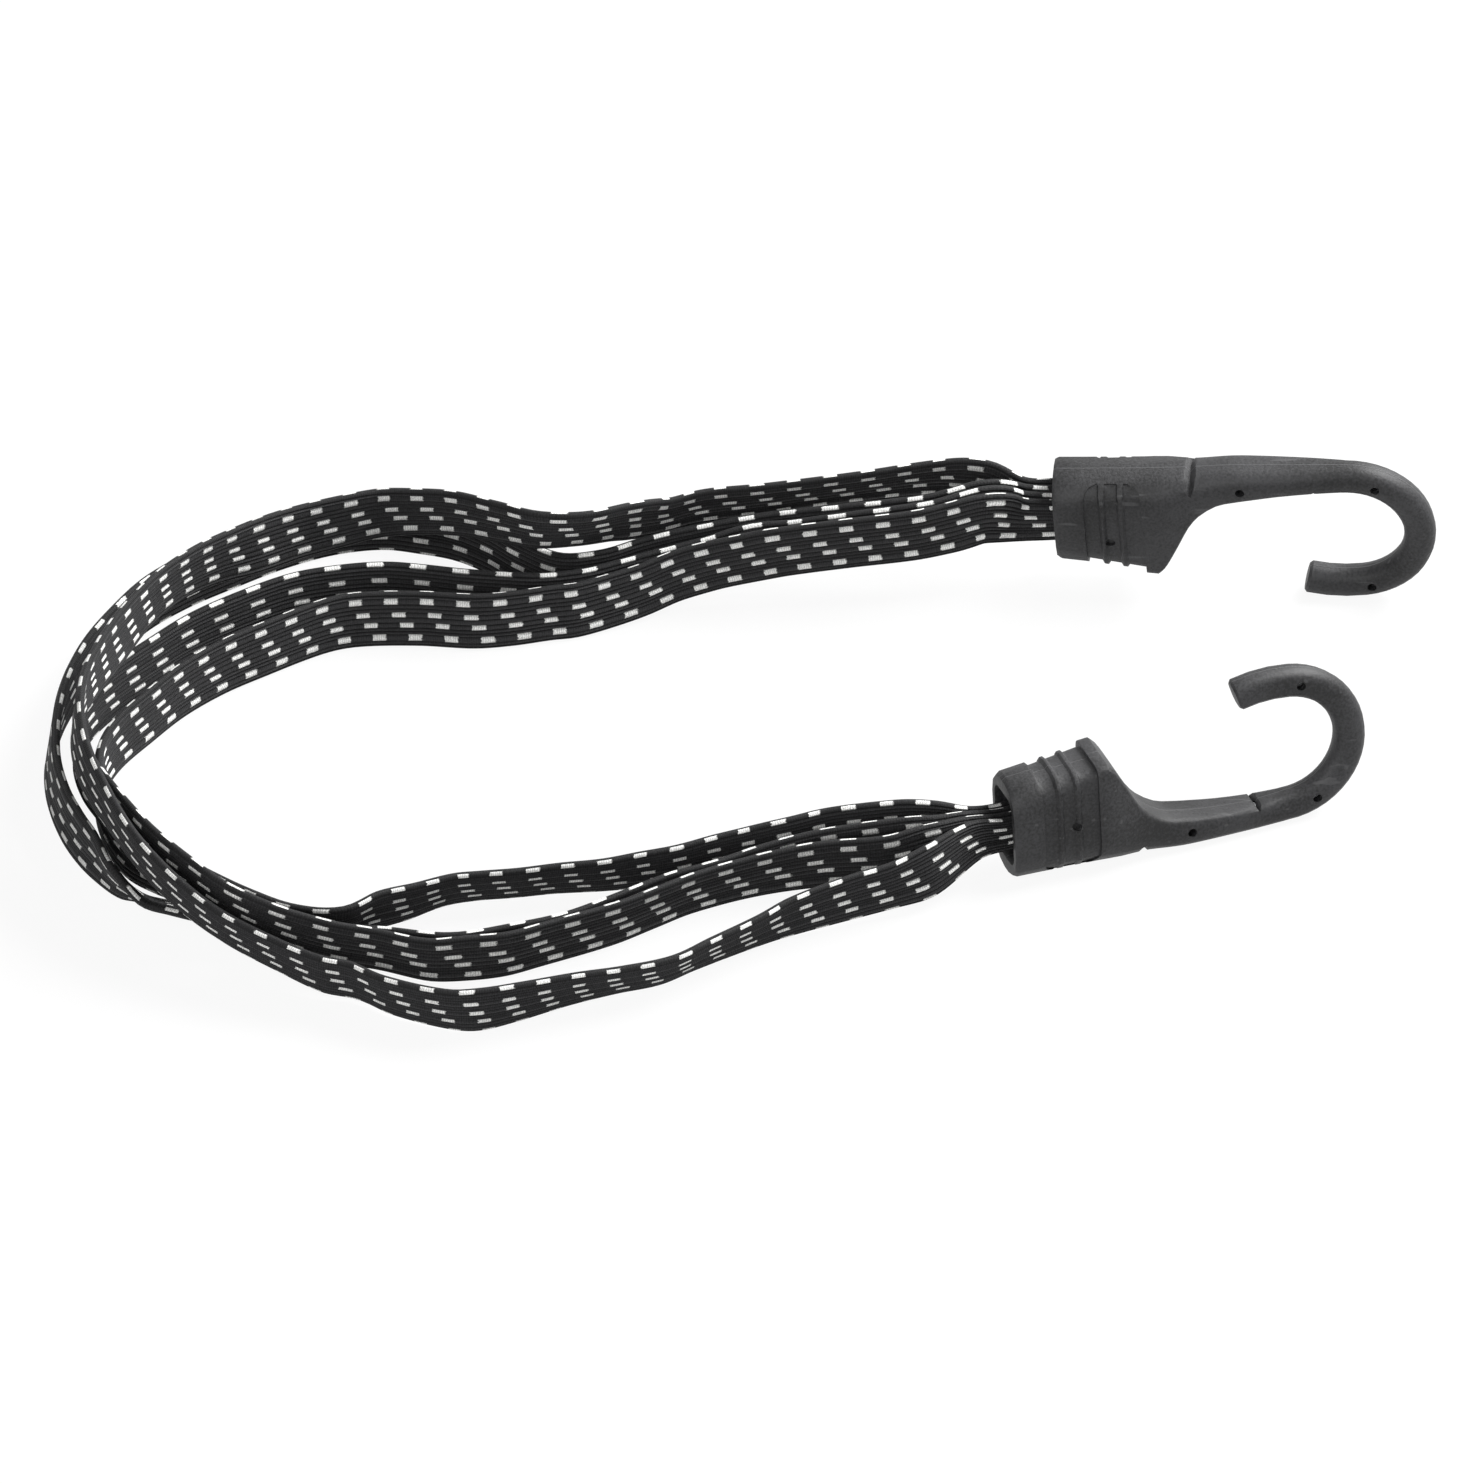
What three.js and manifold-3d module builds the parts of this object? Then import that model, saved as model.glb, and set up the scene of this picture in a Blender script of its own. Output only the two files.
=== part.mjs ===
// Flat four-band bungee cord with two moulded hooks. Millimetres, +Z up, the cord lying on Z = 0.
import * as THREE from "three";
import { mergeVertices } from "three/addons/utils/BufferGeometryUtils.js";
import Module from "manifold-3d";

const wasm = await Module();
wasm.setup();

// Bands: flat woven elastic standing on edge, gathered where they enter a socket
const BAND_WIDTH = 15;
const BAND_THICK = 2;
const WEAVE_WALL = 0.37;
const EDGE_CHAMFER = 0.5;
const FIT_GAP = 0.3;
const BAND_STEPS = 54;
const GATHER_START = 17;
const GATHER_END = 40;

// Hook: the bend, its round bar and the tip
const BEND_RADIUS = 15.4;
const BAR_DEEP = 7;
const BAR_WIDE = 6.6;
const BAR_CORNER = 2.8;
const BEND_START = 64.7;
const BEND_TURN = 172;
const TIP_LENGTH = 12.2;
const TIP_RADIUS = 29.4;
const TIP_ROUND = 0.6;

// Socket that takes the band ends, and what it holds
const BAND_COUNT = 4;
const BAND_PITCH = BAND_THICK + FIT_GAP;
const CLAMP_WALL = 0.5;
const CLAMP_INSIDE = (BAND_COUNT * BAND_PITCH + FIT_GAP) / 2;
const CLAMP_START = 8;
const CLAMP_END = 15.5;
const CLAMP_ROUND = 0.5;
const SOCKET_DEPTH = 20;
const SOCKET_HALF = CLAMP_INSIDE + CLAMP_WALL + FIT_GAP;
const SOCKET_TOP = 4.8;
const SOCKET_FLOOR = 20.4;
const SOCKET_CORNER = 2.3;
const SOCKET_MIDDLE = (SOCKET_TOP + SOCKET_FLOOR) / 2;
const RIM_CHAMFER = 0.4;
const RIM_DEPTH = 1.2;
const BAND_END = 17.5;

// Steel core and the marks that the mould pins leave
const WIRE_RADIUS = 1.6;
const WIRE_SIDES = 8;
const WIRE_KNEES = [
  [20, 5.4],
  [39, 3.7],
  [44, 3.6],
];
const PIN_RADIUS = 1.05;
const PIN_REACH = 9;
const SHANK_PIN = [41.5, 3.9];
const BEND_PIN_TURNS = [25, 165];
const GRIP_PINS = { near: [12.2, 16.6], far: [14.4, 12.8] };
const GRIP_PIN_FLOOR = 6.4;

// Smoothness of the moulded surfaces
const CORNER_STEPS = 3;
const BEND_STEPS = 24;
const SHANK_STEPS = 2;
const WIRE_STEPS = 14;
const PIN_SIDES = 12;
const OVERCUT = 1;

const rad = THREE.MathUtils.degToRad;

// A closed triangle mesh as a solid that can be cut and joined.
function solid(positions, triangles) {
  const raw = new THREE.BufferGeometry();
  raw.setAttribute("position", new THREE.Float32BufferAttribute(positions, 3));
  raw.setIndex(triangles);
  const merged = mergeVertices(raw, 1e-4 * BAND_THICK);
  return new wasm.Manifold(
    new wasm.Mesh({
      numProp: 3,
      vertProperties: merged.attributes.position.array,
      triVerts: new Uint32Array(merged.index.array),
    }),
  );
}

// Joins rings of equal point counts into a closed body with flat fans at both ends.
function loft(rings) {
  const count = rings[0].length;
  const positions = rings.flat().flatMap((p) => [p.x, p.y, p.z]);
  const triangles = [];
  for (let i = 0; i < rings.length - 1; i++) {
    for (let j = 0; j < count; j++) {
      const a = i * count + j;
      const b = i * count + ((j + 1) % count);
      triangles.push(a, b, a + count, b, b + count, a + count);
    }
  }
  [0, rings.length - 1].forEach((i, end) => {
    const middle = rings[i]
      .reduce((sum, p) => sum.add(p), new THREE.Vector3())
      .divideScalar(count);
    const m = positions.length / 3;
    positions.push(middle.x, middle.y, middle.z);
    for (let j = 0; j < count; j++) {
      const a = i * count + j;
      const b = i * count + ((j + 1) % count);
      triangles.push(...(end ? [a, b, m] : [b, a, m]));
    }
  });
  return solid(positions, triangles);
}

// Rounded rectangle in the (v, w) plane: v from spine to belly, w across.
function section(v0, v1, half, spineRound, bellyRound) {
  const points = [];
  const corners = [
    [v1 - bellyRound, half - bellyRound, bellyRound, 0],
    [v0 + spineRound, half - spineRound, spineRound, 90],
    [v0 + spineRound, spineRound - half, spineRound, 180],
    [v1 - bellyRound, bellyRound - half, bellyRound, 270],
  ];
  for (const [cv, cw, r, start] of corners) {
    for (let k = 0; k <= CORNER_STEPS; k++) {
      const a = rad(start + (90 * k) / CORNER_STEPS);
      points.push([cv + r * Math.cos(a), cw + r * Math.sin(a)]);
    }
  }
  return points;
}

const straightRing = (u, shape) => shape.map(([v, w]) => new THREE.Vector3(u, v, w));

// Ring across the bent bar, at centre (u, v) and turned by an angle.
function bentRing(u, v, turn, shrink) {
  const shape = section(
    -BAR_DEEP / 2 + shrink,
    BAR_DEEP / 2 - shrink,
    BAR_WIDE / 2 - shrink,
    BAR_CORNER - shrink,
    BAR_CORNER - shrink,
  );
  return shape.map(([n, w]) => {
    const p = [u - n * Math.sin(turn), v + n * Math.cos(turn), w];
    return new THREE.Vector3(...p);
  });
}

// Centre line of the bend and the tip: [u, v, turn].
function bendLine(steps) {
  const line = [];
  const centre = BAR_DEEP / 2 + BEND_RADIUS;
  for (let i = 0; i <= steps; i++) {
    const t = rad((BEND_TURN * i) / steps);
    line.push([BEND_START + BEND_RADIUS * Math.sin(t), centre - BEND_RADIUS * Math.cos(t), t]);
  }
  const tipSteps = Math.max(2, Math.round(steps / 7));
  const [u0, v0, t0] = line[line.length - 1];
  for (let i = 1; i <= tipSteps; i++) {
    const t = t0 + ((TIP_LENGTH / TIP_RADIUS) * i) / tipSteps;
    const u = u0 + TIP_RADIUS * (Math.sin(t) - Math.sin(t0));
    const v = v0 - TIP_RADIUS * (Math.cos(t) - Math.cos(t0));
    line.push([u, v, t]);
  }
  return line;
}

// Stations of the body: u, spine v, belly v, half width, spine round, belly round.
const BODY = [
  [0, 1.4, 23.8, 7.6, 6.2, 6.2],
  [0.9, 1, 24.5, 8, 6.5, 6.5],
  [6.2, 1, 25.1, 8, 6.5, 6.2],
  [19.3, 0.9, 25.4, 8, 6.5, 2.6],
  [19.7, 0.9, 26.1, 8, 6.5, 2],
];

// Stations of the grip's end and the shank, joined by smooth curves.
const SHANK = [
  [22.2, 0.85, 26.3, 8, 6.4, 1.8],
  [23.6, 0.8, 24.9, 7.8, 6.2, 1.6],
  [25.1, 0.75, 22.4, 7.5, 5.8, 1.5],
  [27.3, 0.7, 18.2, 6.9, 5.3, 1.4],
  [29.5, 0.6, 14, 6.3, 4.9, 1.4],
  [31.9, 0.5, 11, 5.9, 4.6, 1.4],
  [35.9, 0.2, 8.4, 5.4, 3.7, 1.4],
  [39.6, 0, 7.5, 5.25, 3.3, 1.4],
  [43.6, 0, 6.9, 5.1, 3.1, 1.4],
  [49.5, 0, 6.3, 4.7, 2.9, 1.5],
  [57.4, 0, 6.1, 4.1, 2.8, 1.8],
  [63.4, 0, 6.7, 3.5, 2.8, 2.6],
];

// Rows joined by cubic curves through them, with extra rows in between.
function smoothRows(rows, parts) {
  const last = rows.length - 1;
  const slope = (i, k) => {
    const [a, b] = [Math.max(i - 1, 0), Math.min(i + 1, last)];
    return (rows[b][k] - rows[a][k]) / (rows[b][0] - rows[a][0]);
  };
  const made = [];
  for (let i = 0; i < last; i++) {
    for (let n = 0; n < parts; n++) {
      const [from, to] = [rows[i], rows[i + 1]];
      const at = (k) => hermite(from[k], to[k], slope(i, k), slope(i + 1, k), to[0] - from[0], n / parts);
      made.push(from.map((value, k) => at(k)));
    }
  }
  return [...made, rows[last]];
}

// Cubic curve between two values with given slopes over a span, at share t.
function hermite(from, to, slopeFrom, slopeTo, span, t) {
  return (
    (2 * t ** 3 - 3 * t ** 2 + 1) * from +
    (t ** 3 - 2 * t ** 2 + t) * span * slopeFrom +
    (3 * t ** 2 - 2 * t ** 3) * to +
    (t ** 3 - t ** 2) * span * slopeTo
  );
}

// Grip recess: it runs round the body from corner to corner of the spine, with two sharp ribs on its floor.
const RECESS_START = 6.8;
const RECESS_END = 19.7;
const RECESS_TOP = 1.7;
const RECESS_ROUND = 2.9;
const RECESS_DEEP = 0.8;
const RECESS_SPINE = 1;
const RECESS_BELLY = [24.3, 25];
const RECESS_SPINE_ROUND = 6.1;
const RECESS_BELLY_ROUND = [5.4, 1.8];
const RECESS_BEYOND = 40;
const RIB_HEIGHT = 0.75;
const RIB_HALF = 0.85;
const RIB_CREST_SHARE = 0.2;
const RIBS = [10.8, 15];

function recessFloor() {
  const rings = [];
  const put = (u, rise) => {
    const share = (u - RECESS_START) / (RECESS_END - RECESS_START);
    const belly = THREE.MathUtils.lerp(...RECESS_BELLY, share) + rise;
    const bellyRound = THREE.MathUtils.lerp(...RECESS_BELLY_ROUND, share);
    const half = BODY[2][3] - RECESS_DEEP + rise;
    const shape = section(RECESS_SPINE - rise, belly, half, RECESS_SPINE_ROUND, bellyRound);
    rings.push(straightRing(u, shape));
  };
  put(RECESS_START - OVERCUT, 0);
  for (const u of RIBS) {
    put(u - RIB_HALF, 0);
    put(u - RIB_CREST_SHARE * RIB_HALF, RIB_HEIGHT);
    put(u + RIB_CREST_SHARE * RIB_HALF, RIB_HEIGHT);
    put(u + RIB_HALF, 0);
  }
  put(RECESS_END + OVERCUT, 0);
  return loft(rings);
}

// Outline prism through the body, from the recess corner down past the belly.
function recessWindow() {
  const outline = [
    [RECESS_END, RECESS_BEYOND],
    [RECESS_START, RECESS_BEYOND],
  ];
  for (let k = 0; k <= CORNER_STEPS; k++) {
    const a = rad((90 * k) / CORNER_STEPS);
    const u = RECESS_START + RECESS_ROUND * (1 - Math.cos(a));
    outline.push([u, RECESS_TOP + RECESS_ROUND * (1 - Math.sin(a))]);
  }
  for (let k = CORNER_STEPS; k >= 0; k--) {
    const a = rad((90 * k) / CORNER_STEPS);
    const u = RECESS_END - RECESS_ROUND * (1 - Math.cos(a));
    outline.push([u, RECESS_TOP + RECESS_ROUND * (1 - Math.sin(a))]);
  }
  return prism(outline, -BODY[2][3] - OVERCUT, BODY[2][3] + OVERCUT);
}

// Prism of a (u, v) outline across w.
function prism(outline, w0, w1) {
  const at = (w) => outline.map(([u, v]) => new THREE.Vector3(u, v, w));
  return outward(loft([at(w0), at(w1)]));
}

// Round bar along a line of [u, v, turn].
function tube(line, radius) {
  const rings = line.map(([u, v, turn]) =>
    Array.from({ length: WIRE_SIDES }, (_, j) => {
      const a = (2 * Math.PI * (j + 0.5)) / WIRE_SIDES;
      const n = radius * Math.cos(a);
      return new THREE.Vector3(u - n * Math.sin(turn), v + n * Math.cos(turn), radius * Math.sin(a));
    }),
  );
  return loft(rings);
}

// Route of the steel core: through the shank, round the bend, short of the tip.
function coreLine(start) {
  const [[u0, v0], ...knees] = WIRE_KNEES;
  const fall = Math.atan2(v0 - knees[0][1], knees[0][0] - u0);
  const line = [[start, v0 - (start - u0) * Math.tan(fall), -fall]];
  knees.forEach(([u, v], i) => line.push([u, v, i ? 0 : -fall / 2]));
  const bend = bendLine(WIRE_STEPS);
  return line.concat(bend.slice(0, bend.length - 1));
}

// A round pin along w, from past one flank down to a depth.
function flankPin([u, v], side, inner) {
  const ring = (w) =>
    Array.from({ length: PIN_SIDES }, (_, j) => {
      const a = (2 * Math.PI * j) / PIN_SIDES;
      return new THREE.Vector3(u + PIN_RADIUS * Math.cos(a), v + PIN_RADIUS * Math.sin(a), side * w);
    });
  return outward(loft([ring(inner), ring(PIN_REACH)]));
}

function bendPin(turnDegrees, side) {
  const t = rad(turnDegrees);
  const u = BEND_START + BEND_RADIUS * Math.sin(t);
  const v = BAR_DEEP / 2 + BEND_RADIUS * (1 - Math.cos(t));
  return flankPin([u, v], side, WIRE_RADIUS);
}

// Tapered nick across the spine of the shank root: turn round the spine, half width and depth.
const NICK_START = 30.4;
const NICK_TURNS = [
  [62, 0.5, 0.7],
  [30, 1, 1.3],
  [0, 1.2, 1.7],
  [-30, 1.25, 1.7],
  [-58, 1, 1.3],
  [-80, 0.3, 0.4],
];
const NICK_SPINE = { top: 0.5, half: 6.1, round: 4.8 };
const NICK_PROUD = 1.2;

function spineNick() {
  const { top, half, round } = NICK_SPINE;
  const rings = NICK_TURNS.map(([turn, wide, deep]) => {
    const a = rad(turn);
    const corner = Math.sign(turn) * (half - round);
    const at = (u, out) => {
      const reach = round + out;
      return new THREE.Vector3(u, top + round - reach * Math.cos(a), corner + reach * Math.sin(a));
    };
    const flare = wide * (1 + NICK_PROUD / deep);
    return [at(NICK_START - flare, NICK_PROUD), at(NICK_START + flare, NICK_PROUD), at(NICK_START, -deep)];
  });
  return outward(loft(rings));
}

// Notch across the inside of the shank: its outline in u and v.
const SHANK_NOTCH = [
  [55.9, 7.6],
  [59.3, 7.6],
  [57.6, 4.9],
];

function socketHollow() {
  const inside = (u, grow) =>
    straightRing(
      u,
      section(
        SOCKET_TOP - grow,
        SOCKET_FLOOR + grow,
        SOCKET_HALF + grow,
        SOCKET_CORNER + grow,
        SOCKET_CORNER + grow,
      ),
    );
  return loft([
    inside(-OVERCUT, RIM_CHAMFER),
    inside(0, RIM_CHAMFER),
    inside(RIM_DEPTH, 0),
    inside(SOCKET_DEPTH, 0),
  ]);
}

function hookSolid() {
  const stations = [...BODY, ...smoothRows(SHANK, SHANK_STEPS)];
  const rings = stations.map(([u, ...shape]) => straightRing(u, section(...shape)));
  const bend = bendLine(BEND_STEPS);
  rings.push(...bend.map(([u, v, turn]) => bentRing(u, v, turn, 0)));
  const [u1, v1, t1] = bend[bend.length - 1];
  rings.push(bentRing(u1 + TIP_ROUND * Math.cos(t1), v1 + TIP_ROUND * Math.sin(t1), t1, TIP_ROUND));

  const cuts = [
    recessWindow().subtract(recessFloor()),
    socketHollow(),
    tube(coreLine(SOCKET_DEPTH - OVERCUT), WIRE_RADIUS + FIT_GAP),
    spineNick(),
    outward(prism(SHANK_NOTCH, -PIN_REACH, PIN_REACH)),
    flankPin(GRIP_PINS.near, -1, GRIP_PIN_FLOOR),
    flankPin(GRIP_PINS.far, 1, GRIP_PIN_FLOOR),
  ];
  for (const side of [-1, 1]) {
    cuts.push(flankPin(SHANK_PIN, side, WIRE_RADIUS));
    for (const turn of BEND_PIN_TURNS) cuts.push(bendPin(turn, side));
  }
  return cuts.reduce((made, cut) => made.subtract(cut), loft(rings));
}

// Where the hooks lie: socket mouth on the spine and the turns of the hook in degrees, then the share
// of its width that a band keeps in the socket and how far the bands sink at the mouth.
const HOOKS = {
  upper: {
    at: [-35.447, 50.341, 33.537],
    yaw: -5,
    pitch: 3.9,
    lean: 5,
    spine: "up",
    gather: 0.77,
    drop: 0.5,
  },
  lower: {
    at: [-45.932, -53.598, 0.312],
    yaw: 18.5,
    pitch: 0,
    lean: 9,
    spine: "down",
    gather: 0.53,
    drop: 0.4,
  },
};

// Place of each band across the sockets, as counts of the band pitch.
const SOCKET_PLACES = {
  over: { upper: 1.5, lower: 1.5 },
  outer: { upper: 0.5, lower: -0.5 },
  middle: { upper: -0.5, lower: 0.5 },
  inner: { upper: -1.5, lower: -1.5 },
};
const SOCKET_POINTS = [
  [BAND_END, 0],
  [8, 0],
  [0, 1],
  [-8, 1],
];

// Route of each band from the upper hook to the lower one: x, y, z and the outward lean in degrees.
const ROUTES = {
  over: [
    [-50, 58, 22.4, -8], [-60.5, 59.8, 22.5, -22], [-80, 57.5, 21.5, -28], [-100, 55.5, 19.8, -27],
    [-113, 54.5, 18.7, -25], [-122, 51, 18.6, -25], [-130.5, 45.5, 21.5, -25], [-139.5, 41, 23, -26],
    [-148.5, 40, 23.5, -22], [-157, 44, 22.5, -18], [-167, 48.5, 21.5, -14], [-176.5, 50.5, 20.5, -12],
    [-184, 50.5, 20, -8], [-192.5, 47.5, 20, -4], [-201, 44, 20, -2], [-210.5, 37, 21.5, 0],
    [-219, 30.5, 23, -8], [-226.5, 22, 25, -10], [-234, 10.5, 26.5, -6], [-241, -4.5, 27.5, 0],
    [-246, -18.5, 29.5, -3], [-249, -30, 30.5, -6], [-249.5, -41, 30, -5], [-247.5, -51.5, 28.5, 0],
    [-243, -61.5, 26, 8], [-236, -73.5, 22.4, 15], [-227.5, -82.5, 18.4, 20], [-217.5, -89.8, 14.6, 24],
    [-205.5, -96, 11.5, 24], [-196, -100, 9.4, 22], [-188.5, -101.5, 8.5, 22], [-181, -106, 8, 21],
    [-168, -110.5, 7.7, 19], [-161, -110.5, 7.7, 16], [-152, -107.5, 7.6, 20], [-141, -103, 7.4, 27],
    [-131, -99.5, 7.1, 32], [-120.5, -96, 7.1, 32], [-112.5, -90.5, 7.3, 30], [-102, -83.5, 7.5, 26],
    [-94, -78.5, 8, 19], [-80, -72.5, 9, 12], [-71, -69, 9.5, 10], [-63, -65.5, 10.7, 0],
  ],
  outer: [
    [-50, 51.6, 21.7, -5], [-62.5, 49, 19.5, -6], [-80.5, 49, 17, -8], [-99, 49.5, 14, -8],
    [-117, 48, 11, -8], [-126.5, 46.5, 9, -6], [-135, 43.5, 8, -4], [-144, 42.5, 7.7, -2],
    [-153, 48, 7.7, 0], [-159.5, 54, 7.7, 0], [-167, 59, 7.7, 0], [-175, 61.5, 7.7, 0],
    [-183.5, 63, 7.7, 0], [-194.5, 61, 7.7, 0], [-205.5, 56, 7.7, 0], [-216.5, 49, 7.7, 0],
    [-226.5, 42, 7.7, 0], [-235.5, 33.5, 7.7, 0], [-242.5, 23, 7.7, 0], [-248, 12.5, 7.7, 0],
    [-252, 2, 7.7, -3], [-254.5, -8.5, 7.7, -6], [-255.5, -18.5, 7.7, -8], [-255, -29.5, 7.7, -6],
    [-252.5, -41, 7.7, -3], [-249, -50, 7.7, 0], [-245, -57.5, 7.7, 6], [-241, -64.5, 7.4, 22],
    [-237, -68, 6.6, 40], [-233, -70.5, 5.7, 54], [-227.5, -72.5, 5.5, 56], [-220, -75.5, 5.5, 55],
    [-211, -78.5, 5.8, 50], [-202.5, -82, 6.4, 42], [-192.5, -84.5, 7.1, 32], [-181.5, -85.5, 7.1, 32],
    [-168, -87.5, 7.1, 32], [-155.5, -84.5, 7.1, 32], [-144, -80.5, 7.1, 32], [-131.5, -73.5, 7.2, 30],
    [-122, -68, 7.3, 28], [-111, -64.5, 7.6, 22], [-100, -60, 8, 17], [-88.5, -57.5, 9, 10],
    [-78, -56.5, 10, 6], [-68.5, -56, 11, 4], [-61, -55, 11.5, 1],
  ],
  middle: [
    [-50, 48.9, 22, -5], [-61.5, 45.5, 20.5, -5], [-79.5, 44.5, 18, -6], [-92.5, 45, 15.5, -7],
    [-101.5, 45, 14.5, -7], [-111, 43.5, 12, -6], [-120.5, 42, 10, -5], [-129.5, 40, 8.5, -4],
    [-138.5, 37, 7.7, -2], [-148, 35, 7.7, 0], [-156.5, 35.5, 7.7, 0], [-165.5, 36.5, 7.7, 0],
    [-174, 38, 7.7, 0], [-182.5, 39, 7.7, 0], [-192, 38, 7.7, 0], [-203, 35, 7.7, 0],
    [-214.5, 28.5, 7.7, 0], [-225.5, 20.5, 7.7, 0], [-234, 11.5, 8, 0], [-242.5, 0, 9.5, 0],
    [-248, -11, 11, 0], [-250, -21, 12.5, 0], [-248.5, -34, 14.5, 0], [-244, -48, 17.5, 0],
    [-238, -61.5, 19.5, 2], [-232, -71, 20, 6], [-224.5, -79, 19.5, 12], [-215.5, -86.5, 18, 17],
    [-205.5, -90, 15, 19], [-194.5, -91, 11.5, 19], [-183.5, -91, 9, 18], [-172.5, -93, 7.7, 16],
    [-164.5, -92.5, 7.7, 13], [-155.5, -91, 7.7, 14], [-147.5, -87.5, 7.7, 14], [-131.5, -80, 7.7, 15],
    [-122, -74, 7.7, 16], [-114, -69, 7.7, 17], [-100.5, -63.5, 8, 16], [-87, -61, 9, 12],
    [-71.5, -60.5, 10, 8], [-62, -58.5, 11.3, -3],
  ],
  inner: [
    [-50, 46, 22, -5], [-58, 44, 21, -5], [-66, 42.5, 20, -7], [-81, 41.5, 18.5, -8],
    [-95.5, 41, 16.5, -8], [-104, 41, 14.5, -8], [-111, 40.5, 13, -7], [-118.5, 39.5, 11, -5],
    [-126, 37, 9, -2], [-134, 34, 8, 0], [-140.5, 31.5, 7.7, 0], [-146, 30.5, 7.7, 0],
    [-154.5, 28.5, 7.7, 0], [-163, 27.5, 7.7, 0], [-175.5, 28.5, 7.7, 0], [-189, 28, 7.7, 0],
    [-196.5, 25.5, 7.7, 0], [-210, 17, 7.7, 0], [-218.5, 11, 7.7, 0], [-227, 3, 7.7, 0],
    [-234, -6, 7.7, 0], [-241, -16, 7.7, 0], [-244.5, -25, 7.7, 0], [-245, -34, 7.7, 0],
    [-243, -44.5, 7.7, 0], [-238.5, -54.5, 7.7, 0], [-232.5, -60.5, 7.7, 4], [-226.5, -64.5, 7.7, 9],
    [-219, -68.5, 7.4, 20], [-210, -73, 7, 29], [-201, -77.2, 6.9, 33], [-192, -79.2, 7.1, 28],
    [-184.5, -75.5, 7.5, 21], [-176.5, -72, 7.3, 23], [-168, -67.5, 7.1, 28], [-161.5, -66, 7, 30],
    [-153.5, -65, 7, 30], [-144.5, -63.5, 7.1, 29], [-135, -62.5, 7.2, 27], [-127, -61, 7.4, 23],
    [-119, -59.5, 7.7, 20], [-111, -57, 8, 16], [-102.5, -55, 8.5, 12], [-94.5, -53.5, 9.5, 10],
    [-87, -51.5, 10, 8], [-78.5, -51, 11, 6], [-70, -50.5, 11.5, 4], [-61.5, -50.5, 12, 2],
  ],
};

function hookFrame({ at, yaw, pitch, lean, spine }) {
  const [y, p, l] = [rad(yaw), rad(pitch), rad(lean)];
  const along = new THREE.Vector3(Math.cos(y) * Math.cos(p), Math.sin(y) * Math.cos(p), Math.sin(p));
  const side = spine === "up" ? -1 : 1;
  const belly = new THREE.Vector3(0, Math.sin(l), side * Math.cos(l));
  belly.addScaledVector(along, -belly.dot(along)).normalize();
  const across = new THREE.Vector3().crossVectors(along, belly);
  return new THREE.Matrix4().makeBasis(along, belly, across).setPosition(...at);
}

// Outward direction of a route and the upright direction square to it.
function uprights(tangent) {
  const out = new THREE.Vector3().crossVectors(tangent, new THREE.Vector3(0, 0, 1)).normalize();
  return [out, new THREE.Vector3().crossVectors(out, tangent).normalize()];
}

// Route point inside or just before a socket, with the band square to the socket and a share of its drop.
function socketPoint(hook, [u, sunk], place, way) {
  const frame = hookFrame(hook);
  const point = new THREE.Vector3(u, SOCKET_MIDDLE, BAND_PITCH * place).applyMatrix4(frame);
  const [along, belly] = [new THREE.Vector3(), new THREE.Vector3()];
  frame.extractBasis(along, belly, new THREE.Vector3());
  const edge = belly.multiplyScalar(Math.sign(belly.z));
  const [out, up] = uprights(along.multiplyScalar(way));
  const lean = THREE.MathUtils.radToDeg(Math.atan2(edge.dot(out), edge.dot(up)));
  return [point.x, point.y, point.z - sunk * hook.drop, lean];
}

// Share of its full width that a band keeps at a distance from its end in a hook.
function gather(distance, hook) {
  const spread = THREE.MathUtils.smoothstep(distance, GATHER_START, GATHER_END);
  return THREE.MathUtils.lerp(hook.gather, 1, spread);
}

// Evenly spaced points of a smooth curve through the route, each with its lean and its gather.
function smoothRoute(name, steps) {
  const places = SOCKET_PLACES[name];
  const rows = [
    ...SOCKET_POINTS.map((point) => socketPoint(HOOKS.upper, point, places.upper, -1)),
    ...ROUTES[name],
    ...[...SOCKET_POINTS].reverse().map((point) => socketPoint(HOOKS.lower, point, places.lower, 1)),
  ];
  const lengths = [0];
  for (let i = 1; i < rows.length; i++) {
    const step = Math.hypot(...[0, 1, 2].map((k) => rows[i][k] - rows[i - 1][k]));
    lengths.push(lengths[i - 1] + step);
  }
  const slope = (i, k) => {
    const [a, b] = [Math.max(i - 1, 0), Math.min(i + 1, rows.length - 1)];
    return (rows[b][k] - rows[a][k]) / (lengths[b] - lengths[a]);
  };
  const total = lengths[lengths.length - 1];
  const points = [];
  for (let n = 0; n <= steps; n++) {
    const s = (total * n) / steps;
    const next = lengths.findIndex((l, i) => i > 0 && (l >= s || i === rows.length - 1));
    const i = next - 1;
    const h = lengths[next] - lengths[i];
    const t = (s - lengths[i]) / h;
    const at = (k) => hermite(rows[i][k], rows[next][k], slope(i, k), slope(next, k), h, t);
    const share = gather(s, HOOKS.upper) * gather(total - s, HOOKS.lower);
    points.push([...[0, 1, 2, 3].map(at), share]);
  }
  return points;
}

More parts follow.
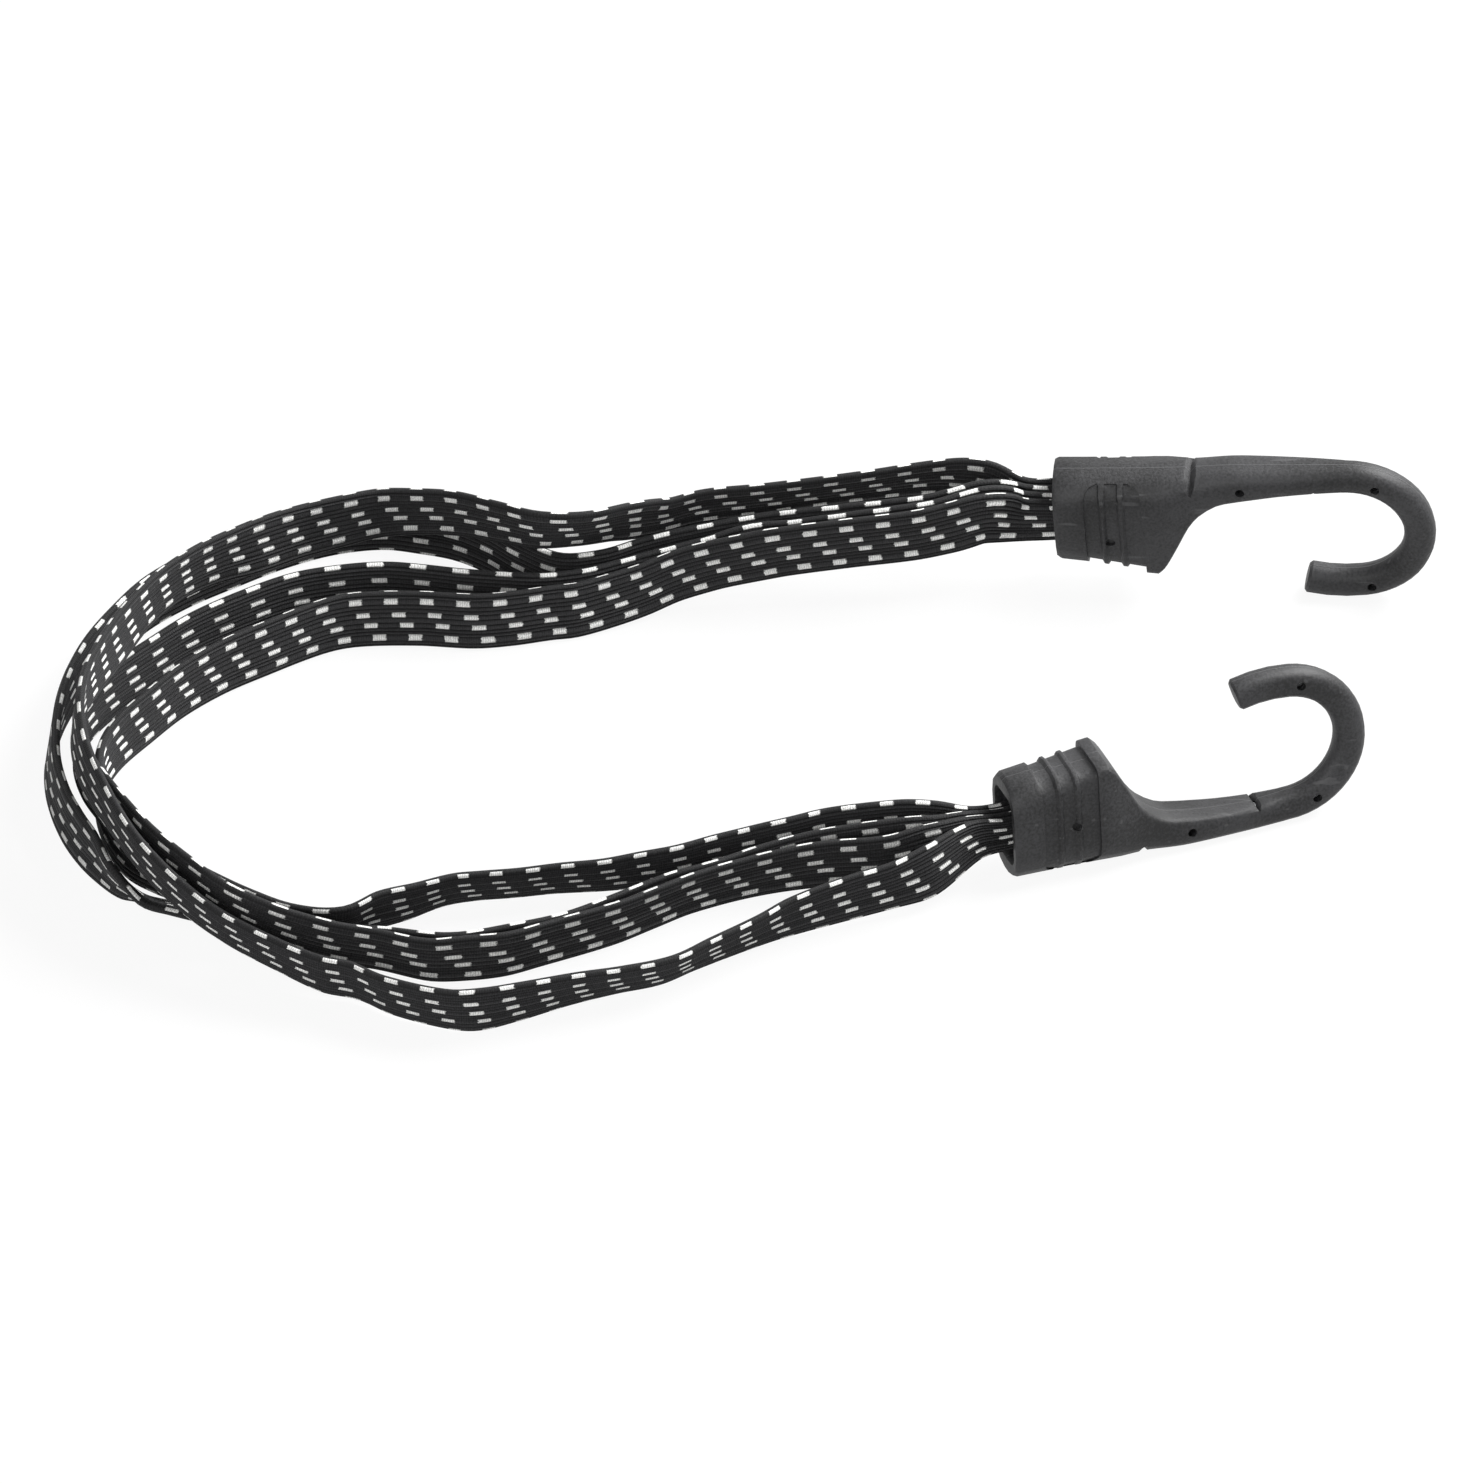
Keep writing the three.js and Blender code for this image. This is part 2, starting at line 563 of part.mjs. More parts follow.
// Rings of a flat strip standing on edge along the route, inset on all sides by a skin.
function stripRings(points, skin, chamfer) {
  const halfThick = BAND_THICK / 2 - skin;
  const centres = points.map(([x, y, z]) => new THREE.Vector3(x, y, z));
  return centres.map((c, i) => {
    const tangent = centres[Math.min(i + 1, centres.length - 1)].clone();
    tangent.sub(centres[Math.max(i - 1, 0)]).normalize();
    const [out, up] = uprights(tangent);
    const lean = rad(points[i][3]);
    const halfWidth = (points[i][4] * BAND_WIDTH) / 2 - skin;
    const wide = up.clone().multiplyScalar(Math.cos(lean)).addScaledVector(out, Math.sin(lean));
    const face = new THREE.Vector3().crossVectors(wide, tangent);
    const outline = chamfer
      ? [
          [halfWidth, halfThick - chamfer],
          [halfWidth - chamfer, halfThick],
          [chamfer - halfWidth, halfThick],
          [-halfWidth, halfThick - chamfer],
          [-halfWidth, chamfer - halfThick],
          [chamfer - halfWidth, -halfThick],
          [halfWidth - chamfer, -halfThick],
          [halfWidth, chamfer - halfThick],
        ]
      : [
          [halfWidth, halfThick],
          [-halfWidth, halfThick],
          [-halfWidth, -halfThick],
          [halfWidth, -halfThick],
        ];
    return outline.map(([a, b]) => c.clone().addScaledVector(wide, a).addScaledVector(face, b));
  });
}

// Woven cover with its hollow open at both ends.
function coverSolid(points) {
  const outer = stripRings(points, 0, EDGE_CHAMFER);
  const inner = stripRings(points, WEAVE_WALL, 0);
  return outward(loft(outer)).subtract(outward(loft(extended(inner))));
}

function rubberSolid(points) {
  return outward(loft(stripRings(points.slice(1, -1), WEAVE_WALL + FIT_GAP, 0)));
}

// The same rings with the end ones pushed out past the ends.
function extended(rings) {
  const push = (from, to) => {
    const middle = (ring) =>
      ring.reduce((sum, p) => sum.add(p), new THREE.Vector3()).divideScalar(ring.length);
    const way = middle(to).sub(middle(from)).normalize().multiplyScalar(BAND_THICK);
    return to.map((p) => p.clone().add(way));
  };
  const last = rings.length - 1;
  return [push(rings[1], rings[0]), ...rings, push(rings[last - 1], rings[last])];
}

const outward = (made) => (made.volume() > 0 ? made : mirrored(made));

// Turns every face of a solid that came out inside out.
function mirrored(made) {
  const { numProp, vertProperties, triVerts } = made.getMesh();
  const positions = [];
  for (let i = 0; i < vertProperties.length; i += numProp) {
    positions.push(vertProperties[i], vertProperties[i + 1], vertProperties[i + 2]);
  }
  const triangles = [];
  for (let i = 0; i < triVerts.length; i += 3) {
    triangles.push(triVerts[i], triVerts[i + 2], triVerts[i + 1]);
  }
  return solid(positions, triangles);
}

// Flat metal clamp pressed round the four band ends inside the socket.
function clampSolid(hook) {
  const high = (hook.gather * BAND_WIDTH) / 2 + FIT_GAP;
  const shape = (grow) => {
    const [top, floor] = [SOCKET_MIDDLE - high - grow, SOCKET_MIDDLE + high + grow];
    return section(top, floor, CLAMP_INSIDE + grow, CLAMP_ROUND + grow, CLAMP_ROUND + grow);
  };
  const block = (grow, ...ends) => outward(loft(ends.map((u) => straightRing(u, shape(grow)))));
  const hole = block(0, CLAMP_START - OVERCUT, CLAMP_END + OVERCUT);
  return block(CLAMP_WALL, CLAMP_START, CLAMP_END).subtract(hole);
}

const MOULDED = { color: 0x3c3c3e, roughness: 0.62 };
const STEEL = { color: 0x8e9196, roughness: 0.4, metalness: 1 };
const WOVEN = { color: 0x1d1d1f, roughness: 0.9 };
const RUBBER = { color: 0xb9ab8c, roughness: 0.8 };

// A named mesh from a solid, placed by a matrix.
function mesh(name, made, look, place) {
  const { numProp, vertProperties, triVerts } = made.getMesh();
  const positions = new Float32Array((vertProperties.length / numProp) * 3);
  for (let i = 0; i < positions.length / 3; i++) {
    positions.set(vertProperties.subarray(i * numProp, i * numProp + 3), i * 3);
  }
  const geometry = new THREE.BufferGeometry();
  geometry.setAttribute("position", new THREE.BufferAttribute(positions, 3));
  geometry.setIndex(new THREE.BufferAttribute(triVerts, 1));
  const made3d = new THREE.Mesh(geometry, new THREE.MeshStandardMaterial(look));
  made3d.name = name;
  if (place) made3d.applyMatrix4(place);
  return made3d;
}

const root = new THREE.Group();
root.name = "four_band_bungee_cord";

const hook = outward(hookSolid());
const wire = outward(tube(coreLine(SOCKET_DEPTH + FIT_GAP), WIRE_RADIUS));
for (const [end, placing] of Object.entries(HOOKS)) {
  const frame = hookFrame(placing);
  root.add(mesh(`${end}_hook_moulding`, hook, MOULDED, frame));
  root.add(mesh(`${end}_hook_steel_core`, wire, STEEL, frame));
  root.add(mesh(`${end}_band_clamp`, clampSolid(placing), STEEL, frame));
}

for (const name of Object.keys(ROUTES)) {
  const points = smoothRoute(name, BAND_STEPS);
  root.add(mesh(`${name}_band_woven_cover`, coverSolid(points), WOVEN));
  root.add(mesh(`${name}_band_rubber_core`, rubberSolid(points), RUBBER));
}

export default root;
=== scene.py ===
"""Finished looks for a flat four-band bungee cord: woven bands, moulded hooks and a plain studio."""

import math

import bpy
import numpy as np
from mathutils import Matrix, Vector


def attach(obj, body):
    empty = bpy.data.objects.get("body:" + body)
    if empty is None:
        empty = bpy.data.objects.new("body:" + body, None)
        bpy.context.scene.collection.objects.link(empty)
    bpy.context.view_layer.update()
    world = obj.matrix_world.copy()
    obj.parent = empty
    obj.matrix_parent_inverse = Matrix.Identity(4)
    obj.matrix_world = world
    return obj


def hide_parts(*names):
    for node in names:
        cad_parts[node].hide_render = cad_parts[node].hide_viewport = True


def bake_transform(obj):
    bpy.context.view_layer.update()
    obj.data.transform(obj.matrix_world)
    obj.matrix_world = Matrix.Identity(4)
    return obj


bl_info = {
    "name": "Four-band bungee cord",
    "version": (1, 0, 0),
    "blender": (4, 5, 0),
    "location": "3D View > Sidebar > Bungee",
    "description": "Builds the woven bands, the hook finishes and the studio of a flat bungee cord",
    "category": "Object",
}

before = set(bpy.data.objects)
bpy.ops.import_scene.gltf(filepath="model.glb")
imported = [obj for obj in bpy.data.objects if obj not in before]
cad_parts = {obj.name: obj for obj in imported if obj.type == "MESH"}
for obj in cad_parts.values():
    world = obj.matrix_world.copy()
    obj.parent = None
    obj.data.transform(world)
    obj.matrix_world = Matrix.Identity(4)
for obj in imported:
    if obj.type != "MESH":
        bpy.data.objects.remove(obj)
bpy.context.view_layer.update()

# Where the hooks lie: the socket mouth on the spine in metres, the hook's turns in degrees and the side
# of its belly, 1 for up and -1 for down, then the share of its width that a band keeps in the socket and
# how far the bands sink at the mouth
HOOKS = {
    "upper": {
        "at": (-0.035447, 0.050341, 0.033537),
        "yaw": -5,
        "pitch": 3.9,
        "lean": 5,
        "side": -1,
        "gather": 0.77,
        "drop": 0.0005,
    },
    "lower": {
        "at": (-0.045932, -0.053598, 0.000312),
        "yaw": 18.5,
        "pitch": 0,
        "lean": 9,
        "side": 1,
        "gather": 0.53,
        "drop": 0.0004,
    },
}

# Depth of the middle of the bands below the spine, inside a socket
SOCKET_MIDDLE = 0.0126

# Places along the shank where a band is square to the socket, and the share of its drop there
SOCKET_STATIONS = ((0.0175, 0), (0.008, 0), (0, 1), (-0.008, 1))

# Place of each band across the two sockets, as counts of the band spacing
SOCKET_PLACES = {
    "over": {"upper": 1.5, "lower": 1.5},
    "outer": {"upper": 0.5, "lower": -0.5},
    "middle": {"upper": -0.5, "lower": 0.5},
    "inner": {"upper": -1.5, "lower": -1.5},
}
BAND_SPACING = 0.0023

# Distances from the end of a band between which it spreads to its full width
GATHER_START = 0.017
GATHER_END = 0.04

# Route of each band from the upper hook to the lower one: x, y and z, and the outward lean in degrees
ROUTES = {
    "over": (
        (-0.05, 0.058, 0.0224, -8), (-0.0605, 0.0598, 0.0225, -22), (-0.08, 0.0575, 0.0215, -28),
        (-0.1, 0.0555, 0.0198, -27), (-0.113, 0.0545, 0.0187, -25), (-0.122, 0.051, 0.0186, -25),
        (-0.1305, 0.0455, 0.0215, -25), (-0.1395, 0.041, 0.023, -26), (-0.1485, 0.04, 0.0235, -22),
        (-0.157, 0.044, 0.0225, -18), (-0.167, 0.0485, 0.0215, -14), (-0.1765, 0.0505, 0.0205, -12),
        (-0.184, 0.0505, 0.02, -8), (-0.1925, 0.0475, 0.02, -4), (-0.201, 0.044, 0.02, -2),
        (-0.2105, 0.037, 0.0215, 0), (-0.219, 0.0305, 0.023, -8), (-0.2265, 0.022, 0.025, -10),
        (-0.234, 0.0105, 0.0265, -6), (-0.241, -0.0045, 0.0275, 0), (-0.246, -0.0185, 0.0295, -3),
        (-0.249, -0.03, 0.0305, -6), (-0.2495, -0.041, 0.03, -5), (-0.2475, -0.0515, 0.0285, 0),
        (-0.243, -0.0615, 0.026, 8), (-0.236, -0.0735, 0.0224, 15), (-0.2275, -0.0825, 0.0184, 20),
        (-0.2175, -0.0898, 0.0146, 24), (-0.2055, -0.096, 0.0115, 24), (-0.196, -0.1, 0.0094, 22),
        (-0.1885, -0.1015, 0.0085, 22), (-0.181, -0.106, 0.008, 21), (-0.168, -0.1105, 0.0077, 19),
        (-0.161, -0.1105, 0.0077, 16), (-0.152, -0.1075, 0.0076, 20), (-0.141, -0.103, 0.0074, 27),
        (-0.131, -0.0995, 0.0071, 32), (-0.1205, -0.096, 0.0071, 32), (-0.1125, -0.0905, 0.0073, 30),
        (-0.102, -0.0835, 0.0075, 26), (-0.094, -0.0785, 0.008, 19), (-0.08, -0.0725, 0.009, 12),
        (-0.071, -0.069, 0.0095, 10), (-0.063, -0.0655, 0.0107, 0),
    ),
    "outer": (
        (-0.05, 0.0516, 0.0217, -5), (-0.0625, 0.049, 0.0195, -6), (-0.0805, 0.049, 0.017, -8),
        (-0.099, 0.0495, 0.014, -8), (-0.117, 0.048, 0.011, -8), (-0.1265, 0.0465, 0.009, -6),
        (-0.135, 0.0435, 0.008, -4), (-0.144, 0.0425, 0.0077, -2), (-0.153, 0.048, 0.0077, 0),
        (-0.1595, 0.054, 0.0077, 0), (-0.167, 0.059, 0.0077, 0), (-0.175, 0.0615, 0.0077, 0),
        (-0.1835, 0.063, 0.0077, 0), (-0.1945, 0.061, 0.0077, 0), (-0.2055, 0.056, 0.0077, 0),
        (-0.2165, 0.049, 0.0077, 0), (-0.2265, 0.042, 0.0077, 0), (-0.2355, 0.0335, 0.0077, 0),
        (-0.2425, 0.023, 0.0077, 0), (-0.248, 0.0125, 0.0077, 0), (-0.252, 0.002, 0.0077, -3),
        (-0.2545, -0.0085, 0.0077, -6), (-0.2555, -0.0185, 0.0077, -8), (-0.255, -0.0295, 0.0077, -6),
        (-0.2525, -0.041, 0.0077, -3), (-0.249, -0.05, 0.0077, 0), (-0.245, -0.0575, 0.0077, 6),
        (-0.241, -0.0645, 0.0074, 22), (-0.237, -0.068, 0.0066, 40), (-0.233, -0.0705, 0.0057, 54),
        (-0.2275, -0.0725, 0.0055, 56), (-0.22, -0.0755, 0.0055, 55), (-0.211, -0.0785, 0.0058, 50),
        (-0.2025, -0.082, 0.0064, 42), (-0.1925, -0.0845, 0.0071, 32), (-0.1815, -0.0855, 0.0071, 32),
        (-0.168, -0.0875, 0.0071, 32), (-0.1555, -0.0845, 0.0071, 32), (-0.144, -0.0805, 0.0071, 32),
        (-0.1315, -0.0735, 0.0072, 30), (-0.122, -0.068, 0.0073, 28), (-0.111, -0.0645, 0.0076, 22),
        (-0.1, -0.06, 0.008, 17), (-0.0885, -0.0575, 0.009, 10), (-0.078, -0.0565, 0.01, 6),
        (-0.0685, -0.056, 0.011, 4), (-0.061, -0.055, 0.0115, 1),
    ),
    "middle": (
        (-0.05, 0.0489, 0.022, -5), (-0.0615, 0.0455, 0.0205, -5), (-0.0795, 0.0445, 0.018, -6),
        (-0.0925, 0.045, 0.0155, -7), (-0.1015, 0.045, 0.0145, -7), (-0.111, 0.0435, 0.012, -6),
        (-0.1205, 0.042, 0.01, -5), (-0.1295, 0.04, 0.0085, -4), (-0.1385, 0.037, 0.0077, -2),
        (-0.148, 0.035, 0.0077, 0), (-0.1565, 0.0355, 0.0077, 0), (-0.1655, 0.0365, 0.0077, 0),
        (-0.174, 0.038, 0.0077, 0), (-0.1825, 0.039, 0.0077, 0), (-0.192, 0.038, 0.0077, 0),
        (-0.203, 0.035, 0.0077, 0), (-0.2145, 0.0285, 0.0077, 0), (-0.2255, 0.0205, 0.0077, 0),
        (-0.234, 0.0115, 0.008, 0), (-0.2425, 0, 0.0095, 0), (-0.248, -0.011, 0.011, 0),
        (-0.25, -0.021, 0.0125, 0), (-0.2485, -0.034, 0.0145, 0), (-0.244, -0.048, 0.0175, 0),
        (-0.238, -0.0615, 0.0195, 2), (-0.232, -0.071, 0.02, 6), (-0.2245, -0.079, 0.0195, 12),
        (-0.2155, -0.0865, 0.018, 17), (-0.2055, -0.09, 0.015, 19), (-0.1945, -0.091, 0.0115, 19),
        (-0.1835, -0.091, 0.009, 18), (-0.1725, -0.093, 0.0077, 16), (-0.1645, -0.0925, 0.0077, 13),
        (-0.1555, -0.091, 0.0077, 14), (-0.1475, -0.0875, 0.0077, 14), (-0.1315, -0.08, 0.0077, 15),
        (-0.122, -0.074, 0.0077, 16), (-0.114, -0.069, 0.0077, 17), (-0.1005, -0.0635, 0.008, 16),
        (-0.087, -0.061, 0.009, 12), (-0.0715, -0.0605, 0.01, 8), (-0.062, -0.0585, 0.0113, -3),
    ),
    "inner": (
        (-0.05, 0.046, 0.022, -5), (-0.058, 0.044, 0.021, -5), (-0.066, 0.0425, 0.02, -7),
        (-0.081, 0.0415, 0.0185, -8), (-0.0955, 0.041, 0.0165, -8), (-0.104, 0.041, 0.0145, -8),
        (-0.111, 0.0405, 0.013, -7), (-0.1185, 0.0395, 0.011, -5), (-0.126, 0.037, 0.009, -2),
        (-0.134, 0.034, 0.008, 0), (-0.1405, 0.0315, 0.0077, 0), (-0.146, 0.0305, 0.0077, 0),
        (-0.1545, 0.0285, 0.0077, 0), (-0.163, 0.0275, 0.0077, 0), (-0.1755, 0.0285, 0.0077, 0),
        (-0.189, 0.028, 0.0077, 0), (-0.1965, 0.0255, 0.0077, 0), (-0.21, 0.017, 0.0077, 0),
        (-0.2185, 0.011, 0.0077, 0), (-0.227, 0.003, 0.0077, 0), (-0.234, -0.006, 0.0077, 0),
        (-0.241, -0.016, 0.0077, 0), (-0.2445, -0.025, 0.0077, 0), (-0.245, -0.034, 0.0077, 0),
        (-0.243, -0.0445, 0.0077, 0), (-0.2385, -0.0545, 0.0077, 0), (-0.2325, -0.0605, 0.0077, 4),
        (-0.2265, -0.0645, 0.0077, 9), (-0.219, -0.0685, 0.0074, 20), (-0.21, -0.073, 0.007, 29),
        (-0.201, -0.0772, 0.0069, 33), (-0.192, -0.0792, 0.0071, 28), (-0.1845, -0.0755, 0.0075, 21),
        (-0.1765, -0.072, 0.0073, 23), (-0.168, -0.0675, 0.0071, 28), (-0.1615, -0.066, 0.007, 30),
        (-0.1535, -0.065, 0.007, 30), (-0.1445, -0.0635, 0.0071, 29), (-0.135, -0.0625, 0.0072, 27),
        (-0.127, -0.061, 0.0074, 23), (-0.119, -0.0595, 0.0077, 20), (-0.111, -0.057, 0.008, 16),
        (-0.1025, -0.055, 0.0085, 12), (-0.0945, -0.0535, 0.0095, 10), (-0.087, -0.0515, 0.01, 8),
        (-0.0785, -0.051, 0.011, 6), (-0.07, -0.0505, 0.0115, 4), (-0.0615, -0.0505, 0.012, 2),
    ),
}

# Fleck rows of the two band faces: centre and width as shares of the band, then the step in pitches.
# Below them are the length and the soft edge of a fleck as shares of a pitch
FLECK_ROWS = {
    "plain": ((0.16, 0.115, 0), (0.41, 0.09, 0.22), (0.6, 0.09, 0.44), (0.83, 0.115, 0.68)),
    "wrapped": (
        (0.025, 0.07, 0), (0.31, 0.09, 0.1), (0.54, 0.09, 0.26), (0.74, 0.09, 0.49), (0.975, 0.07, 0.65),
    ),
}
FLECK_LENGTH_SHARE = 0.37
FLECK_SOFT_SHARE = 0.012
THREADS_PER_PITCH = 16

# Start of the across coordinate on each face, far enough apart to keep the two sets of rows separate
ACROSS_STARTS = {"plain": 0, "wrapped": 2}

# Bands: the face inside the loop and the one outside it, the pitch of the flecks and where they start
BANDS = {
    "over": {"inside": "plain", "outside": "wrapped", "pitch": 0.0081, "start": 0},
    "outer": {"inside": "wrapped", "outside": "plain", "pitch": 0.0094, "start": 0.3},
    "middle": {"inside": "wrapped", "outside": "plain", "pitch": 0.0096, "start": 0.6},
    "inner": {"inside": "plain", "outside": "wrapped", "pitch": 0.008, "start": 0.4},
}

# Outline of a band: the share of its width in a rounded edge, with its steps, the digits kept of a rib's
# place, how far a crown rises as a share of the groove's depth, and the painted shade of an edge and a
# shoulder, on a scale where the painted shade of a valley has 0 and the painted highlight of a crown has 1
EDGE_SHARE = 0.055
EDGE_STEPS = 4
EDGE_DIGITS = 5
CROWN_SHARE = 0.55
EDGE_PAINTED_SHADE = 0.35
SHOULDER_PAINTED_SHADE = 0.55

# Rib and groove of the plain rubber core, as shares of half its thickness
CORE_RIB_SHARE = 2
CORE_DEPTH_SHARE = 0.5
CORE_GROOVE_SHARE = 0.25

# Faces of a band that meet at more than this angle, as at its cut ends, keep a crisp edge
END_ANGLE = math.radians(62)

# Points of a hook that are nearer than this are joined, and its rounded edges have this many steps
JOIN_DISTANCE = 0.000002
EDGE_ROUND_STEPS = 2

# Woven finish: fibre size and relief in metres, how far fibres shift the flecks in pitches, shares of
# the yarn colour in the painted shade of a valley and in the painted highlight of a crown, and of the
# fleck colour, then heights, roughness, gloss and sheen
FIBRE_SIZE = 0.0004
FIBRE_DETAIL = 3
THREAD_RELIEF = 0.00012
FIBRE_SHIFT = 0.12
# Yarn colour darkened as painted shade in a valley and lightened as a painted highlight on a crown
VALLEY_SHADE_YARN_SHARE = 0.15
CROWN_HIGHLIGHT_YARN_SHARE = 3
FLECK_SHADE_SHARE = 0.6
THREAD_HEIGHT_SHARE = 0.5
YARN_ROUGHNESS = 0.6
FLECK_ROUGHNESS_CHANGE = -0.2
WEAVE_GLOSS = 0.15
WEAVE_SHEEN = 0.04
SHEEN_ROUGHNESS = 0.4

# Rubber finish: the dusty colour as a share of the plain one and a lift, roughness and relief strength
DUST_SHARE = 1.5
DUST_LIFT = 0.05
RUBBER_ROUGHNESS = 0.55
RUBBER_ROUGHNESS_CHANGE = 0.3
RUBBER_RELIEF_STRENGTH = 0.3

# Plastic finish: light and dark speckle as shares of the plain colour, the level of the pattern that
# parts them, how strongly scratches and the parting line show, then roughness, gloss and relief
LIGHT_SPECKLE_SHARE = 1.8
DARK_SPECKLE_SHARE = 0.3
SPECKLE_LEVEL = 1
SPECKLE_SOFT = 0.2
RUBBED_SHARE = 0.6
PARTING_WIDTH = 0.0003
PLASTIC_ROUGHNESS = 0.42
PLASTIC_ROUGHNESS_CHANGE = 0.24
PLASTIC_GLOSS = 0.35
GRAIN_RELIEF = 0.0001
PLASTIC_RELIEF_STRENGTH = 0.8

# Steel finish: the dull colour as a share of the plain one, roughness and relief
DULL_SHARE = 0.6
STEEL_ROUGHNESS = 0.28
STEEL_ROUGHNESS_CHANGE = 0.25
STEEL_RELIEF_STRENGTH = 0.6
WIRE_RELIEF = 0.0001
CLAMP_RELIEF = 0.0002

# Shared grain: scales as shares of the grain's own, the stretch of the scratches and where they start
GRAIN_DETAIL = 3
TONE_SCALE_SHARE = 0.03
SCRATCH_DETAIL = 1
SCRATCH_SCALE_SHARE = 0.5
SCRATCH_STRETCH = (0.06, 1, 0.6)
SCRATCH_LEVEL = 0.27
SCRATCH_SOFT = 0.03

# Studio: lamp sizes and places from the point that the camera looks at, the floor's own finish and the
# camera's far limit as a multiple of its distance
LAMPS = {
    "key": {"size": 0.6, "offset": (0.65, 0.2, 0.85)},
    "front": {"size": 0.6, "offset": (-0.35, -0.8, 0.55)},
    "back": {"size": 0.7, "offset": (0.65, 0.8, 0.7)},
}
FLOOR_WHITE_SHARE = 0.88
FLOOR_WHITE = 1.04
FLOOR_ROUGHNESS = 0.9
WHITE = (1, 1, 1, 1)
CLIP_SHARE = 4

# Input and output places of the Mix node's colours
FIRST_COLOUR = 6
SECOND_COLOUR = 7
MIXED_COLOUR = 2


class BandSettings(bpy.types.PropertyGroup):
    """Sizes and colours of the woven bands"""

    width: bpy.props.FloatProperty(
        name="Band width", description="Width of the flat band", default=0.015, unit="LENGTH"
    )
    thickness: bpy.props.FloatProperty(
        name="Band thickness", description="Thickness over the ribs", default=0.002, unit="LENGTH"
    )
    cover_wall: bpy.props.FloatProperty(
        name="Cover wall", description="Thickness of the woven cover", default=0.00037, unit="LENGTH"
    )
    rubber_gap: bpy.props.FloatProperty(
        name="Rubber gap", description="Room between rubber and cover", default=0.0003, unit="LENGTH"
    )
    ring_step: bpy.props.FloatProperty(
        name="Ring step", description="Length of band between two rings", default=0.0015, unit="LENGTH"
    )
    groove_depth: bpy.props.FloatProperty(
        name="Groove depth", description="Depth between two ribs", default=0.00035, unit="LENGTH"
    )
    groove_half_width: bpy.props.FloatProperty(
        name="Groove half width", description="From a valley to a rib's shoulder", default=0.00022,
        unit="LENGTH",
    )
    rib_width: bpy.props.FloatProperty(
        name="Rib width", description="Width of a plain rib", default=0.00105, unit="LENGTH"
    )
    yarn_colour: bpy.props.FloatVectorProperty(
        name="Yarn colour", description="Black polyester yarn", default=(0.01, 0.01, 0.0105),
        subtype="COLOR",
    )
    fleck_colour: bpy.props.FloatVectorProperty(
        name="Fleck colour", description="Light reflective yarn", default=(0.9, 0.9, 0.88),
        subtype="COLOR",
    )
    rubber_colour: bpy.props.FloatVectorProperty(
        name="Rubber colour", description="Natural rubber threads", default=(0.48, 0.4, 0.27),
        subtype="COLOR",
    )


class HookSettings(bpy.types.PropertyGroup):
    """Colours, grain and edges of the hooks, and the colour of the steel inside them"""

    plastic_colour: bpy.props.FloatVectorProperty(
        name="Plastic colour", description="Dark moulded plastic", default=(0.015, 0.015, 0.016),
        subtype="COLOR",
    )
    worn_colour: bpy.props.FloatVectorProperty(
        name="Worn colour", description="Scratches and parting line", default=(0.06, 0.06, 0.062),
        subtype="COLOR",
    )
    grain_size: bpy.props.FloatProperty(
        name="Grain size", description="Size of the moulded grain", default=0.0006, unit="LENGTH"
    )
    edge_round: bpy.props.FloatProperty(
        name="Edge rounding", description="Rounding of the sharp edges", default=0.0002, unit="LENGTH"
    )
    smooth_angle: bpy.props.FloatProperty(
        name="Smooth angle", description="Edges under this angle are smooth", default=math.radians(31),
        subtype="ANGLE",
    )
    steel_colour: bpy.props.FloatVectorProperty(
        name="Steel colour", description="Wire and clamp", default=(0.5, 0.51, 0.52),
        subtype="COLOR",
    )


class StageSettings(bpy.types.PropertyGroup):
    """Floor, lamps and camera"""

    floor_colour: bpy.props.FloatVectorProperty(
        name="Floor colour", description="Pale floor", default=(0.6, 0.6, 0.6), subtype="COLOR"
    )
    floor_size: bpy.props.FloatProperty(
        name="Floor size", description="Side of the floor", default=8, unit="LENGTH"
    )
    view_width: bpy.props.FloatProperty(
        name="View width", description="Width that the picture spans", default=0.32648, unit="LENGTH"
    )
    view_elevation: bpy.props.FloatProperty(
        name="View elevation", description="Camera angle over the floor", default=math.radians(38),
        subtype="ANGLE",
    )
    lens: bpy.props.FloatProperty(
        name="Lens", description="Focal length in millimetres", default=1200, unit="CAMERA"
    )
    aim: bpy.props.FloatVectorProperty(
        name="Aim", description="Point in the middle of the picture", default=(-0.10398, -0.00595, 0),
        subtype="TRANSLATION",
    )
    key_power: bpy.props.FloatProperty(
        name="Key power", description="Lamp above and to the right, in watts", default=21, unit="POWER"
    )
    front_power: bpy.props.FloatProperty(
        name="Front power", description="Lamp in front of the object, in watts", default=5, unit="POWER"
    )
    back_power: bpy.props.FloatProperty(
        name="Back power", description="Lamp behind the object, in watts", default=13, unit="POWER"
    )
    sky_light: bpy.props.FloatProperty(
        name="Sky light", description="Strength of the light from all round", default=0.1
    )


def hook_frame(hook):
    """Matrix of a hook's own frame: along the shank, from spine to belly, and across."""
    turn, rise, lean = (math.radians(hook[key]) for key in ("yaw", "pitch", "lean"))
    along = Vector(
        (math.cos(turn) * math.cos(rise), math.sin(turn) * math.cos(rise), math.sin(rise))
    )
    belly = Vector((0, math.sin(lean), hook["side"] * math.cos(lean)))
    belly = (belly - along * belly.dot(along)).normalized()
    across = along.cross(belly)
    placed = Matrix((along, belly, across)).transposed().to_4x4()
    placed.translation = Vector(hook["at"])
    return placed


def uprights(tangent):
    """Outward direction of a route and the upright direction square to it."""
    out = tangent.cross(Vector((0, 0, 1))).normalized()
    return out, out.cross(tangent).normalized()


